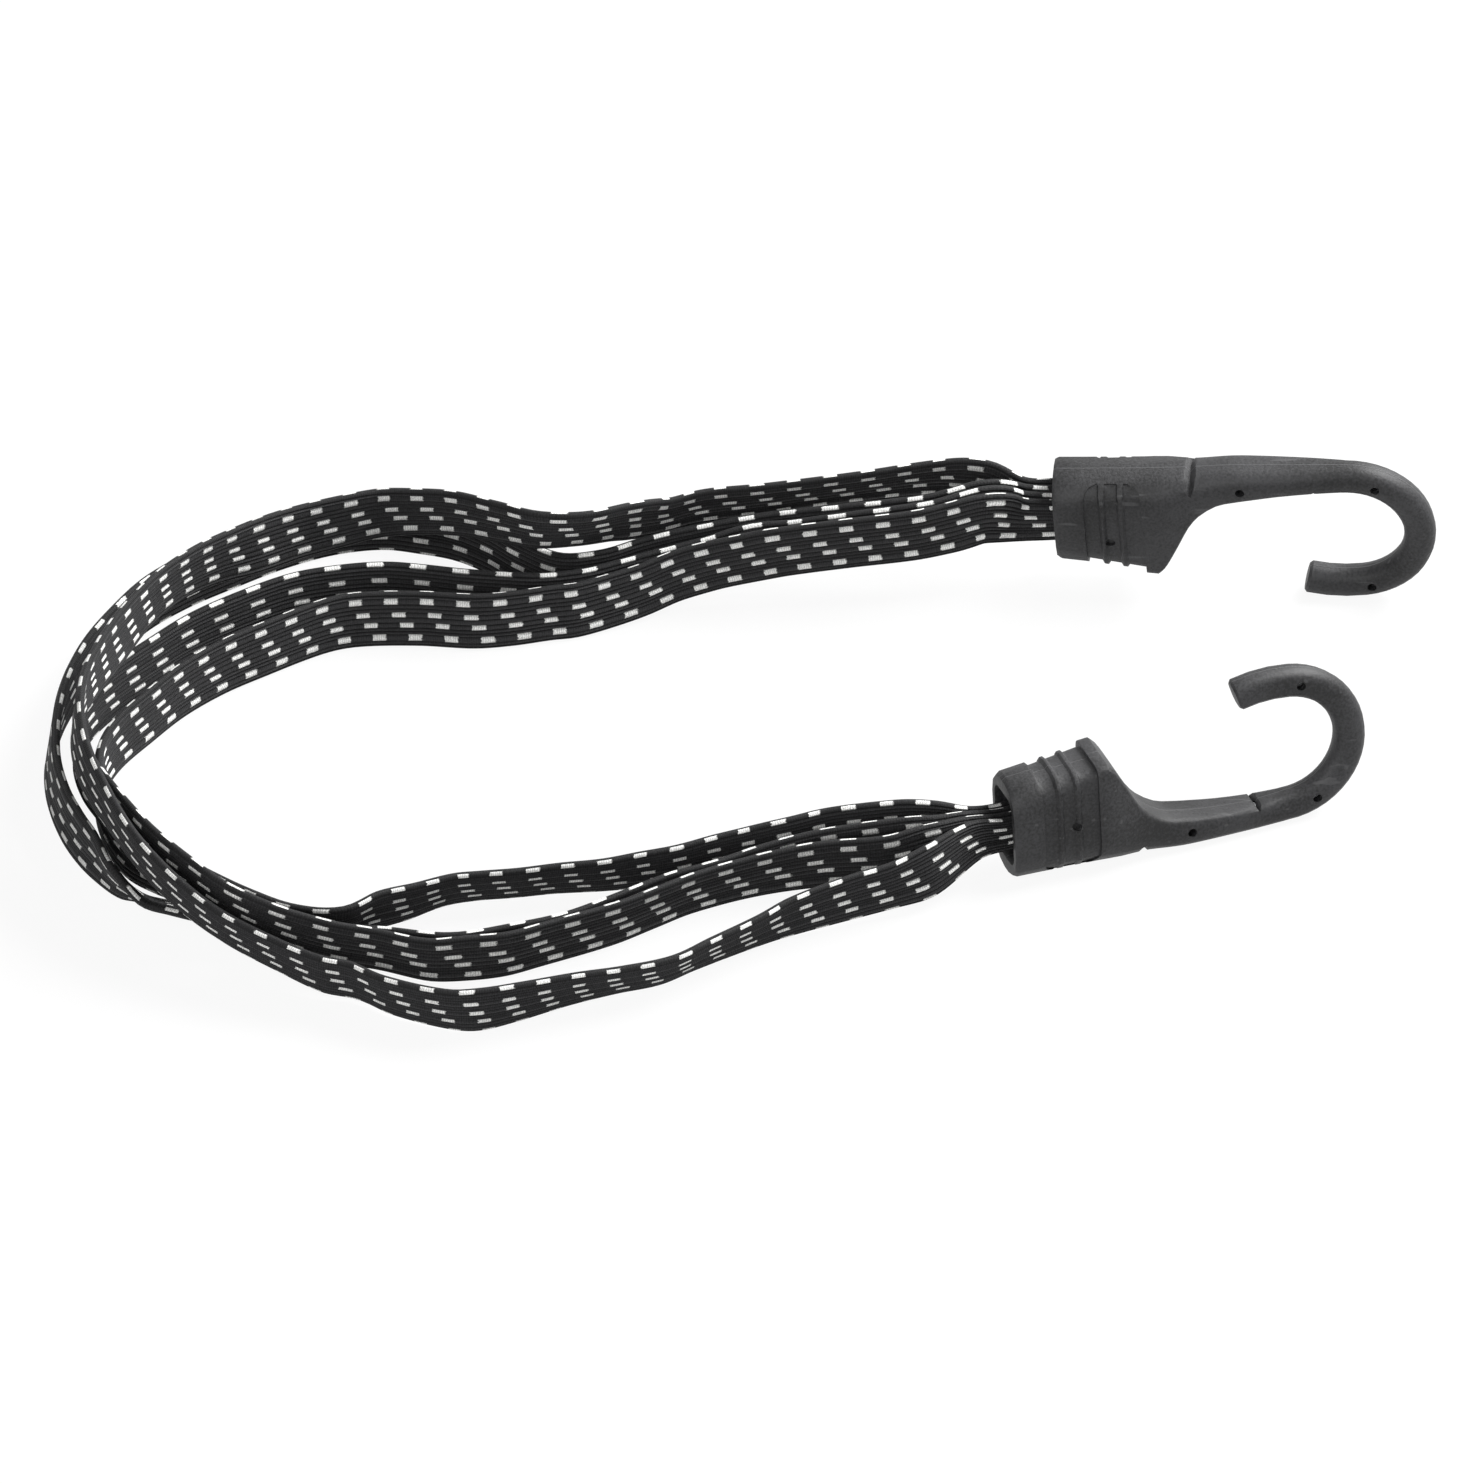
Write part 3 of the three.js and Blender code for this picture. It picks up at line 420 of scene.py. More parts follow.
def socket_point(end, station, place, way):
    """Route point in or before a socket, with the band square to the socket and a share of its drop.

    way is 1 for a route that runs towards the hook and -1 for one that comes from it.
    """
    placed = hook_frame(HOOKS[end])
    point = placed @ Vector((station[0], SOCKET_MIDDLE, BAND_SPACING * place))
    point.z -= station[1] * HOOKS[end]["drop"]
    along = placed.col[0].xyz
    edge = placed.col[1].xyz
    if edge.z < 0:
        edge = -edge
    out, up = uprights(along * way)
    lean = math.degrees(math.atan2(edge.dot(out), edge.dot(up)))
    return (*point, lean)


def gather(distances, end):
    """Share of its full width that a band keeps at distances from its end in a hook."""
    t = np.clip((distances - GATHER_START) / (GATHER_END - GATHER_START), 0, 1)
    kept = HOOKS[end]["gather"]
    return kept + (1 - kept) * (3 * t**2 - 2 * t**3)


def smooth_route(name, step):
    """Evenly spaced points of a smooth curve through a band's route: x, y, z, lean and width share."""
    places = SOCKET_PLACES[name]
    rows = [socket_point("upper", station, places["upper"], -1) for station in SOCKET_STATIONS]
    rows += ROUTES[name]
    rows += [socket_point("lower", station, places["lower"], 1) for station in reversed(SOCKET_STATIONS)]
    rows = np.array(rows)
    lengths = np.concatenate(([0], np.cumsum(np.linalg.norm(np.diff(rows[:, :3], axis=0), axis=1))))
    last = len(rows) - 1
    before = np.maximum(np.arange(len(rows)) - 1, 0)
    after = np.minimum(np.arange(len(rows)) + 1, last)
    slopes = (rows[after] - rows[before]) / (lengths[after] - lengths[before])[:, None]
    count = math.ceil(lengths[-1] / step)
    stations = np.linspace(0, lengths[-1], count + 1)
    start = np.clip(np.searchsorted(lengths, stations, side="right") - 1, 0, last - 1)
    span = (lengths[start + 1] - lengths[start])[:, None]
    t = (stations - lengths[start])[:, None] / span
    curve = (
        (2 * t**3 - 3 * t**2 + 1) * rows[start]
        + (t**3 - 2 * t**2 + t) * span * slopes[start]
        + (3 * t**2 - 2 * t**3) * rows[start + 1]
        + (t**3 - t**2) * span * slopes[start + 1]
    )
    shares = gather(stations, "upper") * gather(lengths[-1] - stations, "lower")
    return np.column_stack((curve, shares))


def strip_axes(points):
    """Directions across the width and through the thickness at each point of a route."""
    ends = np.arange(len(points))
    tangents = points[np.minimum(ends + 1, len(points) - 1), :3] - points[np.maximum(ends - 1, 0), :3]
    tangents /= np.linalg.norm(tangents, axis=1)[:, None]
    out = np.cross(tangents, (0, 0, 1))
    out /= np.linalg.norm(out, axis=1)[:, None]
    up = np.cross(out, tangents)
    lean = np.radians(points[:, 3])[:, None]
    wide = up * np.cos(lean) + out * np.sin(lean)
    return wide, np.cross(wide, tangents)


def plain_ribs(low, high, width, rib):
    """Starts of equal ribs between two places, as shares of the width, each about one plain rib wide."""
    count = max(1, round((high - low) * width / rib))
    return [low + (high - low) * k / count for k in range(count)]


def rib_edges(rows, width, rib):
    """Shares of the width at which one rib ends and the next starts, with one rib for each fleck row."""
    edges = []
    low = EDGE_SHARE
    for centre, row_width, _ in rows:
        first = centre - row_width / 2
        last = centre + row_width / 2
        if first > low:
            edges += plain_ribs(low, first, width, rib)
        if first > EDGE_SHARE and last < 1 - EDGE_SHARE:
            edges.append(first)
        low = max(last, EDGE_SHARE)
    top = 1 - EDGE_SHARE
    if low < top:
        edges += plain_ribs(low, top, width, rib)
    edges.append(top)
    return sorted(set(round(edge, EDGE_DIGITS) for edge in edges))


def face_profile(rows, half_width, half_thick, rib, depth, groove):
    """Half outline of a band from its top edge to just before its bottom one: across, through and painted
    shade.
    """
    width = 2 * half_width
    edge_round = EDGE_SHARE * width
    turns = [math.radians(90 * k / EDGE_STEPS) for k in range(EDGE_STEPS)]
    corner = half_width - edge_round
    # The points of the rounded edge carry the painted shade of an edge
    points = [
        (corner + edge_round * math.cos(turn), half_thick * math.sin(turn), EDGE_PAINTED_SHADE) for turn in turns
    ]
    edges = rib_edges(rows, width, rib)
    for low, high in zip(edges, edges[1:]):
        first = half_width - low * width
        last = half_width - high * width
        # Third value of each point is painted shade: 0 in a valley, a shoulder's share on a shoulder and 1
        # for the painted highlight on a crown
        points.append((first, half_thick - depth, 0))
        points.append((first - groove, half_thick, SHOULDER_PAINTED_SHADE))
        points.append(((first + last) / 2, half_thick + depth * CROWN_SHARE, 1))
        points.append((last + groove, half_thick, SHOULDER_PAINTED_SHADE))
    points.append((-corner, half_thick - depth, 0))
    return points + [(-a, b, tone) for a, b, tone in reversed(points[1:EDGE_STEPS])]


def band_outline(inside_rows, outside_rows, half_width, half_thick, rib, depth, groove):
    """Closed outline of a band: across, through, painted shade and whether the next side lies inside the
    loop.
    """
    inside = face_profile(inside_rows, half_width, half_thick, rib, depth, groove)
    outside = face_profile(outside_rows, half_width, half_thick, rib, depth, groove)
    outline = [(*point, True) for point in inside]
    outline.append((-half_width, 0, EDGE_PAINTED_SHADE, False))
    outline += [(a, -b, tone, False) for a, b, tone in reversed(outside[1:])]
    return outline


def strip_corners(points, shapes):
    """Corners of a strip ring by ring, for its outer shape and then for its inner one if it is hollow."""
    wide, face = strip_axes(points)
    centres = points[:, None, :3]
    spread = wide[:, None] * points[:, None, 4:]
    return np.concatenate(
        [
            (centres + spread * shape[None, :, :1] + face[:, None] * shape[None, :, 1:]).reshape(-1, 3)
            for shape in shapes
        ]
    )


def strip_sides(shape, inside, along, across_start):
    """Faces between the rings of a strip, and the pitches and the width share at their corners."""
    count = len(shape)
    ring, side = np.meshgrid(np.arange(len(along) - 1), np.arange(count), indexing="ij")
    near = ring * count + side
    far = ring * count + (side + 1) % count
    quads = np.stack((near, near + count, far + count, far), axis=-1).reshape(-1, 4)
    half_width = shape[:, 0].max()
    share = (half_width - shape[:, 0]) / (2 * half_width)
    start = np.where(inside, across_start[0], across_start[1])
    sign = np.where(inside, -1, 1)
    u0 = along[ring] * sign[side]
    u1 = along[ring + 1] * sign[side]
    v0 = share[side] + start[side]
    v1 = np.roll(share, -1)[side] + start[side]
    return quads, np.stack((u0, v0, u1, v0, u1, v1, u0, v1), axis=-1).reshape(-1, 2)


def end_rims(rings, count):
    """Faces that join the outer and the inner surface of a hollow strip at its two cut ends."""
    corner = np.arange(count)
    after = (corner + 1) % count
    inner = rings * count
    first = np.stack((corner, after, after + inner, corner + inner), axis=-1)
    last = np.stack((corner, corner + inner, after + inner, after), axis=-1) + inner - count
    return np.concatenate((first, last))


def strip_mesh(name, points, outline, along, across_start, wall=0):
    """Strip with the given outline along a route, hollow where a wall is given.

    along is the number of pitches at each point of the route, and across_start the start of the
    across coordinate for the inside and the outside of the loop.
    """
    shape = np.array([point[:2] for point in outline])
    inside = np.array([point[3] for point in outline])
    rings, count = len(points), len(outline)
    quads, uvs = strip_sides(shape, inside, along, across_start)
    if wall:
        half = np.abs(shape).max(axis=0)
        shapes = [shape, shape * (half - wall) / half]
        rims = end_rims(rings, count)
        faces = np.concatenate((quads, quads[:, ::-1] + rings * count, rims)).tolist()
        uvs = np.concatenate((uvs, uvs, np.zeros((rims.size, 2))))
    else:
        shapes = [shape]
        first = list(range(count))
        last = [(rings - 1) * count + corner for corner in reversed(first)]
        faces = quads.tolist() + [first, last]
        uvs = np.concatenate((uvs, np.zeros((2 * count, 2))))
    data = bpy.data.meshes.new(name)
    data.from_pydata(strip_corners(points, shapes).tolist(), [], faces)
    layer = data.uv_layers.new(name="weave")
    layer.data.foreach_set("uv", uvs.astype(np.float32).ravel())
    # Painted shade of each point: dark in the rib valleys and at the edges, a painted highlight on the
    # crowns
    rib_shades = data.attributes.new(name="rib_tone", type="FLOAT", domain="POINT")
    rib_shades.data.foreach_set("value", [point[2] for point in outline] * (rings * len(shapes)))
    data.shade_smooth()
    piece = bpy.data.objects.new(name, data)
    bpy.context.scene.collection.objects.link(piece)
    return piece


def select_only(piece):
    """Makes a piece the one selected and active object."""
    bpy.ops.object.select_all(action="DESELECT")
    piece.select_set(True)
    bpy.context.view_layer.objects.active = piece


def sharpen_ends(piece):
    """Keeps the cut ends of a strip crisp while its faces stay smooth."""
    select_only(piece)
    bpy.ops.object.shade_smooth_by_angle(angle=END_ANGLE)


def new_group(name, inputs, outputs):
    """Empty shader node group with float or vector sockets, and its input and output nodes."""
    group = bpy.data.node_groups.new(name, "ShaderNodeTree")
    for label, kind in inputs:
        group.interface.new_socket(name=label, in_out="INPUT", socket_type=kind)
    for label in outputs:
        group.interface.new_socket(name=label, in_out="OUTPUT", socket_type="NodeSocketFloat")
    return group, group.nodes.new("NodeGroupInput"), group.nodes.new("NodeGroupOutput")


def connect(tree, source, target):
    """Feeds a socket from another socket or from a plain value."""
    if isinstance(source, bpy.types.NodeSocket):
        tree.links.new(source, target)
    else:
        target.default_value = source


def calculate(tree, operation, first, second=0):
    """Result of a Math node with one or two values."""
    node = tree.nodes.new("ShaderNodeMath")
    node.operation = operation
    connect(tree, first, node.inputs[0])
    connect(tree, second, node.inputs[1])
    return node.outputs[0]


def vary(tree, base, mask, change):
    """Value that is the base where a mask is 0 and is changed by a given amount where it is 1."""
    return calculate(tree, "ADD", base, calculate(tree, "MULTIPLY", mask, change))


def fall_off(tree, distance, reach, soft):
    """Mask that is 1 within a reach and fades to 0 over a soft edge."""
    node = tree.nodes.new("ShaderNodeMapRange")
    connect(tree, distance, node.inputs["Value"])
    node.inputs["From Min"].default_value = reach + soft
    node.inputs["From Max"].default_value = reach - soft
    return node.outputs["Result"]


def toned(colour, share=1, lift=0):
    """Shader colour that is a share of a plain colour plus a lift, and no lighter than white."""
    return (*(min(1, share * part + lift) for part in colour), 1)


def blend_colours(tree, share, first, second):
    """Mix of two colours by a mask."""
    node = tree.nodes.new("ShaderNodeMix")
    node.data_type = "RGBA"
    connect(tree, share, node.inputs["Factor"])
    connect(tree, first, node.inputs[FIRST_COLOUR])
    connect(tree, second, node.inputs[SECOND_COLOUR])
    return node.outputs[MIXED_COLOUR]


def noise(tree, vector, scale, detail):
    """Value of a noise pattern on a vector."""
    node = tree.nodes.new("ShaderNodeTexNoise")
    connect(tree, vector, node.inputs["Vector"])
    connect(tree, scale, node.inputs["Scale"])
    node.inputs["Detail"].default_value = detail
    return node.outputs["Fac"]


def fleck_group():
    """Shared weave pattern: light flecks in rows, and the cross threads that tie them down."""
    found = bpy.data.node_groups.get("fleck_rows")
    if found:
        return found
    inputs = (("Along", "NodeSocketFloat"), ("Across", "NodeSocketFloat"))
    tree, given, result = new_group("fleck_rows", inputs, ("Fleck", "Thread"))
    along, across = given.outputs["Along"], given.outputs["Across"]
    flecks = 0
    for face, rows in FLECK_ROWS.items():
        for centre, width, shift in rows:
            place = calculate(tree, "FRACT", calculate(tree, "SUBTRACT", along, shift))
            ahead = calculate(tree, "ABSOLUTE", calculate(tree, "SUBTRACT", place, 0.5))
            aside = calculate(tree, "SUBTRACT", across, ACROSS_STARTS[face] + centre)
            aside = calculate(tree, "ABSOLUTE", aside)
            length = fall_off(tree, ahead, FLECK_LENGTH_SHARE / 2, FLECK_SOFT_SHARE)
            breadth = fall_off(tree, aside, width / 2, FLECK_SOFT_SHARE / 2)
            flecks = calculate(tree, "MAXIMUM", flecks, calculate(tree, "MULTIPLY", length, breadth))
    wave = calculate(tree, "SINE", calculate(tree, "MULTIPLY", along, THREADS_PER_PITCH * math.tau))
    tree.links.new(flecks, result.inputs["Fleck"])
    tree.links.new(vary(tree, 0.5, wave, 0.5), result.inputs["Thread"])
    return tree


def grain_group():
    """Shared surface grain: fine grain, slow tone changes and thin scratches on any vector."""
    found = bpy.data.node_groups.get("surface_grain")
    if found:
        return found
    inputs = (("Vector", "NodeSocketVector"), ("Size", "NodeSocketFloat"))
    tree, given, result = new_group("surface_grain", inputs, ("Grain", "Tone", "Scratch"))
    vector = given.outputs["Vector"]
    scale = calculate(tree, "DIVIDE", 1, given.outputs["Size"])
    grain = noise(tree, vector, scale, GRAIN_DETAIL)
    tone = noise(tree, vector, calculate(tree, "MULTIPLY", scale, TONE_SCALE_SHARE), GRAIN_DETAIL)
    stretch = tree.nodes.new("ShaderNodeMapping")
    stretch.inputs["Scale"].default_value = SCRATCH_STRETCH
    tree.links.new(vector, stretch.inputs["Vector"])
    scratch_scale = calculate(tree, "MULTIPLY", scale, SCRATCH_SCALE_SHARE)
    lines = noise(tree, stretch.outputs["Vector"], scratch_scale, SCRATCH_DETAIL)
    scratch = fall_off(tree, lines, SCRATCH_LEVEL, SCRATCH_SOFT)
    tree.links.new(grain, result.inputs["Grain"])
    tree.links.new(tone, result.inputs["Tone"])
    tree.links.new(scratch, result.inputs["Scratch"])
    return tree


def placed_group(tree, group):
    """Node that puts a shared group into a material."""
    node = tree.nodes.new("ShaderNodeGroup")
    node.node_tree = group
    return node


def object_grain(tree, size):
    """Outputs of the shared grain at a given size, fixed to the piece."""
    place = tree.nodes.new("ShaderNodeTexCoord")
    grain = placed_group(tree, grain_group())
    tree.links.new(place.outputs["Object"], grain.inputs["Vector"])
    grain.inputs["Size"].default_value = size
    return grain.outputs


def new_material(name, **constants):
    """Material with its shader, whose given sockets hold plain values."""
    material = bpy.data.materials.new(name)
    material.use_nodes = True
    shader = material.node_tree.nodes["Principled BSDF"]
    for label, value in constants.items():
        shader.inputs[label.replace("_", " ")].default_value = value
    return material, material.node_tree, shader


def raise_surface(tree, shader, height, distance, strength=1):
    """Bump on the shader from a height mask."""
    bump = tree.nodes.new("ShaderNodeBump")
    bump.inputs["Distance"].default_value = distance
    bump.inputs["Strength"].default_value = strength
    connect(tree, height, bump.inputs["Height"])
    tree.links.new(bump.outputs["Normal"], shader.inputs["Normal"])


def woven_material(settings):
    """Black rib weave with rows of light flecks, both tied down by cross threads, with painted shade in
    the rib valleys and at the band edges and a painted highlight on the crowns.
    """
    material, tree, shader = new_material(
        "woven_elastic",
        Specular_IOR_Level=WEAVE_GLOSS,
        Sheen_Weight=WEAVE_SHEEN,
        Sheen_Roughness=SHEEN_ROUGHNESS,
    )
    mapped = tree.nodes.new("ShaderNodeUVMap")
    mapped.uv_map = "weave"
    split = tree.nodes.new("ShaderNodeSeparateXYZ")
    tree.links.new(mapped.outputs["UV"], split.inputs["Vector"])
    place = tree.nodes.new("ShaderNodeTexCoord")
    fibre = noise(tree, place.outputs["Object"], 1 / FIBRE_SIZE, FIBRE_DETAIL)
    wobble = calculate(tree, "MULTIPLY", calculate(tree, "SUBTRACT", fibre, 0.5), FIBRE_SHIFT)
    weave = placed_group(tree, fleck_group())
    connect(tree, calculate(tree, "ADD", split.outputs["X"], wobble), weave.inputs["Along"])
    connect(tree, split.outputs["Y"], weave.inputs["Across"])
    fleck, thread = weave.outputs["Fleck"], weave.outputs["Thread"]
    # Painted shade in the rib valleys and at the band edges, and a painted highlight on the crowns, darken
    # and lighten the yarn's fibre and thread tone
    ribs = tree.nodes.new("ShaderNodeAttribute")
    ribs.attribute_name = "rib_tone"
    yarn_tone_and_rib_shade = calculate(tree, "MULTIPLY", calculate(tree, "ADD", fibre, thread), ribs.outputs["Fac"])
    yarn = settings.yarn_colour
    base = blend_colours(tree, yarn_tone_and_rib_shade, toned(yarn, VALLEY_SHADE_YARN_SHARE), toned(yarn, CROWN_HIGHLIGHT_YARN_SHARE))
    light = settings.fleck_colour
    fleck_colour = blend_colours(tree, thread, toned(light, FLECK_SHADE_SHARE), toned(light))
    tree.links.new(blend_colours(tree, fleck, base, fleck_colour), shader.inputs["Base Color"])
    rough = vary(tree, YARN_ROUGHNESS, fleck, FLECK_ROUGHNESS_CHANGE)
    tree.links.new(rough, shader.inputs["Roughness"])
    height = vary(tree, vary(tree, fleck, thread, THREAD_HEIGHT_SHARE), fibre, THREAD_HEIGHT_SHARE)
    raise_surface(tree, shader, height, THREAD_RELIEF)
    return material


def rubber_material(settings):
    """Natural rubber threads with a dusting of talc."""
    material, tree, shader = new_material("rubber_thread")
    grain = object_grain(tree, FIBRE_SIZE)
    plain = settings.rubber_colour
    base = blend_colours(tree, grain["Tone"], toned(plain), toned(plain, DUST_SHARE, DUST_LIFT))
    tree.links.new(base, shader.inputs["Base Color"])
    rough = vary(tree, RUBBER_ROUGHNESS, grain["Grain"], RUBBER_ROUGHNESS_CHANGE)
    tree.links.new(rough, shader.inputs["Roughness"])
    raise_surface(tree, shader, grain["Grain"], THREAD_RELIEF, RUBBER_RELIEF_STRENGTH)
    return material


def plastic_material(settings):
    """Matte moulded plastic with grain, light and dark speckle, scratches and a rubbed parting line."""
    material, tree, shader = new_material("hook_plastic", Specular_IOR_Level=PLASTIC_GLOSS)
    grain = object_grain(tree, settings.grain_size)
    plain = settings.plastic_colour
    speckle = calculate(tree, "ADD", grain["Tone"], grain["Grain"])
    speckle = fall_off(tree, speckle, SPECKLE_LEVEL, SPECKLE_SOFT)
    light, dark = toned(plain, LIGHT_SPECKLE_SHARE), toned(plain, DARK_SPECKLE_SHARE)
    tone = blend_colours(tree, speckle, light, dark)
    across = tree.nodes.new("ShaderNodeAttribute")
    across.attribute_name = "across"
    parting = calculate(tree, "ABSOLUTE", across.outputs["Fac"])
    parting = fall_off(tree, parting, PARTING_WIDTH / 2, PARTING_WIDTH / 4)
    rubbed = calculate(tree, "MAXIMUM", grain["Scratch"], parting)
    rubbed = calculate(tree, "MULTIPLY", rubbed, RUBBED_SHARE)
    base = blend_colours(tree, rubbed, tone, toned(settings.worn_colour))
    tree.links.new(base, shader.inputs["Base Color"])
    rough = vary(tree, PLASTIC_ROUGHNESS, grain["Grain"], PLASTIC_ROUGHNESS_CHANGE)
    tree.links.new(rough, shader.inputs["Roughness"])
    height = calculate(tree, "ADD", grain["Grain"], parting)
    raise_surface(tree, shader, height, GRAIN_RELIEF, PLASTIC_RELIEF_STRENGTH)
    return material


def steel_material(settings, name, relief):
    """Drawn or rolled steel with fine lines and a dull zinc tone."""
    material, tree, shader = new_material(name, Metallic=1)
    grain = object_grain(tree, settings.grain_size)
    plain = settings.steel_colour
    base = blend_colours(tree, grain["Tone"], toned(plain, DULL_SHARE), toned(plain))
    tree.links.new(base, shader.inputs["Base Color"])
    rough = vary(tree, STEEL_ROUGHNESS, grain["Scratch"], STEEL_ROUGHNESS_CHANGE)
    tree.links.new(rough, shader.inputs["Roughness"])
    raise_surface(tree, shader, grain["Scratch"], relief, STEEL_RELIEF_STRENGTH)
    return material


def dress(piece, material):
    """Gives a piece its material."""
    piece.data.materials.clear()
    piece.data.materials.append(material)


def smooth_copy(node, name, settings):
    """Copy of a moulded CAD piece with joined faces, smooth curves and slightly rounded edges."""
    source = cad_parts[node]
    piece = bpy.data.objects.new(name, source.data.copy())
    bpy.context.scene.collection.objects.link(piece)
    piece.data.transform(source.matrix_world)
    select_only(piece)
    bpy.ops.object.mode_set(mode="EDIT")
    bpy.ops.mesh.select_all(action="SELECT")
    bpy.ops.mesh.remove_doubles(threshold=JOIN_DISTANCE)
    bpy.ops.mesh.dissolve_degenerate(threshold=JOIN_DISTANCE)
    bpy.ops.object.mode_set(mode="OBJECT")
    if piece.data.has_custom_normals:
        bpy.ops.mesh.customdata_custom_splitnormals_clear()
    bevel = piece.modifiers.new("rounded edges", "BEVEL")
    bevel.width = settings.edge_round
    bevel.segments = EDGE_ROUND_STEPS
    bevel.limit_method = "ANGLE"
    bevel.angle_limit = settings.smooth_angle
    bpy.ops.object.modifier_apply(modifier=bevel.name)
    bpy.ops.object.shade_smooth_by_angle(angle=settings.smooth_angle)
    return piece


def mark_across(piece, hook):
    """Stores at each point of a hook how far it lies from the plane where the mould parts."""
    placed = hook_frame(hook)
    origin, across = placed.translation, placed.col[2].xyz
    marks = piece.data.attributes.new(name="across", type="FLOAT", domain="POINT")
    marks.data.foreach_set("value", [across.dot(point.co - origin) for point in piece.data.vertices])


def add_lamp(name, power, size, place, aim):
    """Square area lamp that points at the aim."""
    light = bpy.data.lights.new(name, "AREA")
    light.energy = power
    light.size = size
    lamp = bpy.data.objects.new(name, light)
    lamp.location = place
    lamp.rotation_euler = (Vector(aim) - Vector(place)).to_track_quat("-Z", "Y").to_euler()
    bpy.context.scene.collection.objects.link(lamp)


def seen_rays(tree):
    """Mask of the rays that see the white background: from the camera, a reflection or a clear piece."""
    path = tree.nodes.new("ShaderNodeLightPath")
    seen = calculate(tree, "MAXIMUM", path.outputs["Is Camera Ray"], path.outputs["Is Glossy Ray"])
    return calculate(tree, "MAXIMUM", seen, path.outputs["Is Transmission Ray"])


def floor_material(colour):
    """Pale floor that is seen near white, with the object's shadow kept."""
    material, tree, shader = new_material(
        "pale_floor", Roughness=FLOOR_ROUGHNESS, Base_Color=toned(colour)
    )
    white = tree.nodes.new("ShaderNodeEmission")
    white.inputs["Strength"].default_value = FLOOR_WHITE
    mix = tree.nodes.new("ShaderNodeMixShader")
    share = calculate(tree, "MULTIPLY", seen_rays(tree), FLOOR_WHITE_SHARE)
    tree.links.new(share, mix.inputs["Fac"])
    tree.links.new(shader.outputs["BSDF"], mix.inputs[1])
    tree.links.new(white.outputs["Emission"], mix.inputs[2])
    tree.links.new(mix.outputs["Shader"], tree.nodes["Material Output"].inputs["Surface"])
    return material


def build_world(strength):
    """Even light from all round, with a white background where it is seen."""
    world = bpy.data.worlds.new("studio")
    bpy.context.scene.world = world
    world.use_nodes = True
    tree = world.node_tree
    light = tree.nodes["Background"]
    light.inputs["Color"].default_value = WHITE
    light.inputs["Strength"].default_value = strength
    white = tree.nodes.new("ShaderNodeBackground")
    white.inputs["Color"].default_value = WHITE
    mix = tree.nodes.new("ShaderNodeMixShader")
    tree.links.new(seen_rays(tree), mix.inputs["Fac"])
    tree.links.new(light.outputs["Background"], mix.inputs[1])
    tree.links.new(white.outputs["Background"], mix.inputs[2])
    tree.links.new(mix.outputs["Shader"], tree.nodes["World Output"].inputs["Surface"])


class BUNGEE_OT_stage(bpy.types.Operator):
    """Make the floor, the lamps and the camera"""

    bl_idname = "bungee.stage"
    bl_label = "Studio"

    def execute(self, context):
        settings = context.scene.bungee_stage
        bpy.ops.object.select_all(action="DESELECT")
        bpy.ops.mesh.primitive_plane_add(size=settings.floor_size, location=(0, 0, 0))
        floor = context.active_object
        floor.name = "floor"
        floor.data.materials.append(floor_material(settings.floor_colour))
        build_world(settings.sky_light)
        aim = Vector(settings.aim)
        for name, lamp in LAMPS.items():
            power = getattr(settings, f"{name}_power")
            add_lamp(f"{name}_lamp", power, lamp["size"], aim + Vector(lamp["offset"]), aim)
        lens = bpy.data.cameras.new("camera")
        lens.lens = settings.lens
        reach = settings.view_width * settings.lens / lens.sensor_width
        lens.clip_end = CLIP_SHARE * reach
        camera = bpy.data.objects.new("camera", lens)
        rise = settings.view_elevation
        back = Vector((0, -math.cos(rise), math.sin(rise)))
        camera.location = aim + back * reach
        camera.rotation_euler = (-back).to_track_quat("-Z", "Y").to_euler()
        context.scene.collection.objects.link(camera)
        context.scene.camera = camera
        context.scene.view_settings.view_transform = "Standard"
        return {"FINISHED"}


def cover_outline(band, settings):
    """Outline of a woven cover, with one rib for each row of flecks."""
    half_thick = settings.thickness / 2 - settings.groove_depth * CROWN_SHARE
    return band_outline(
        FLECK_ROWS[band["inside"]], FLECK_ROWS[band["outside"]], settings.width / 2, half_thick,
        settings.rib_width, settings.groove_depth, settings.groove_half_width,
    )


def core_outline(settings):
    """Outline of a rubber core that fits inside a woven cover."""
    inset = settings.cover_wall + settings.rubber_gap
    thick = settings.thickness / 2 - inset
    return band_outline(
        (), (), settings.width / 2 - inset, thick,
        thick * CORE_RIB_SHARE, thick * CORE_DEPTH_SHARE, thick * CORE_GROOVE_SHARE,
    )


def band_halves(name, settings):
    """The two halves of a band's route with their pitches and lengths, split where the loop turns."""
    points = smooth_route(name, settings.ring_step)
    steps = np.linalg.norm(np.diff(points[:, :3], axis=0), axis=1)
    lengths = np.concatenate(([0], np.cumsum(steps)))
    along = lengths / BANDS[name]["pitch"] + BANDS[name]["start"]
    turn = int(points[:, 0].argmin())
    return {
        "upper": (points[: turn + 1], along[: turn + 1], lengths[turn]),
        "lower": (points[turn:], along[turn:], lengths[-1] - lengths[turn]),
    }


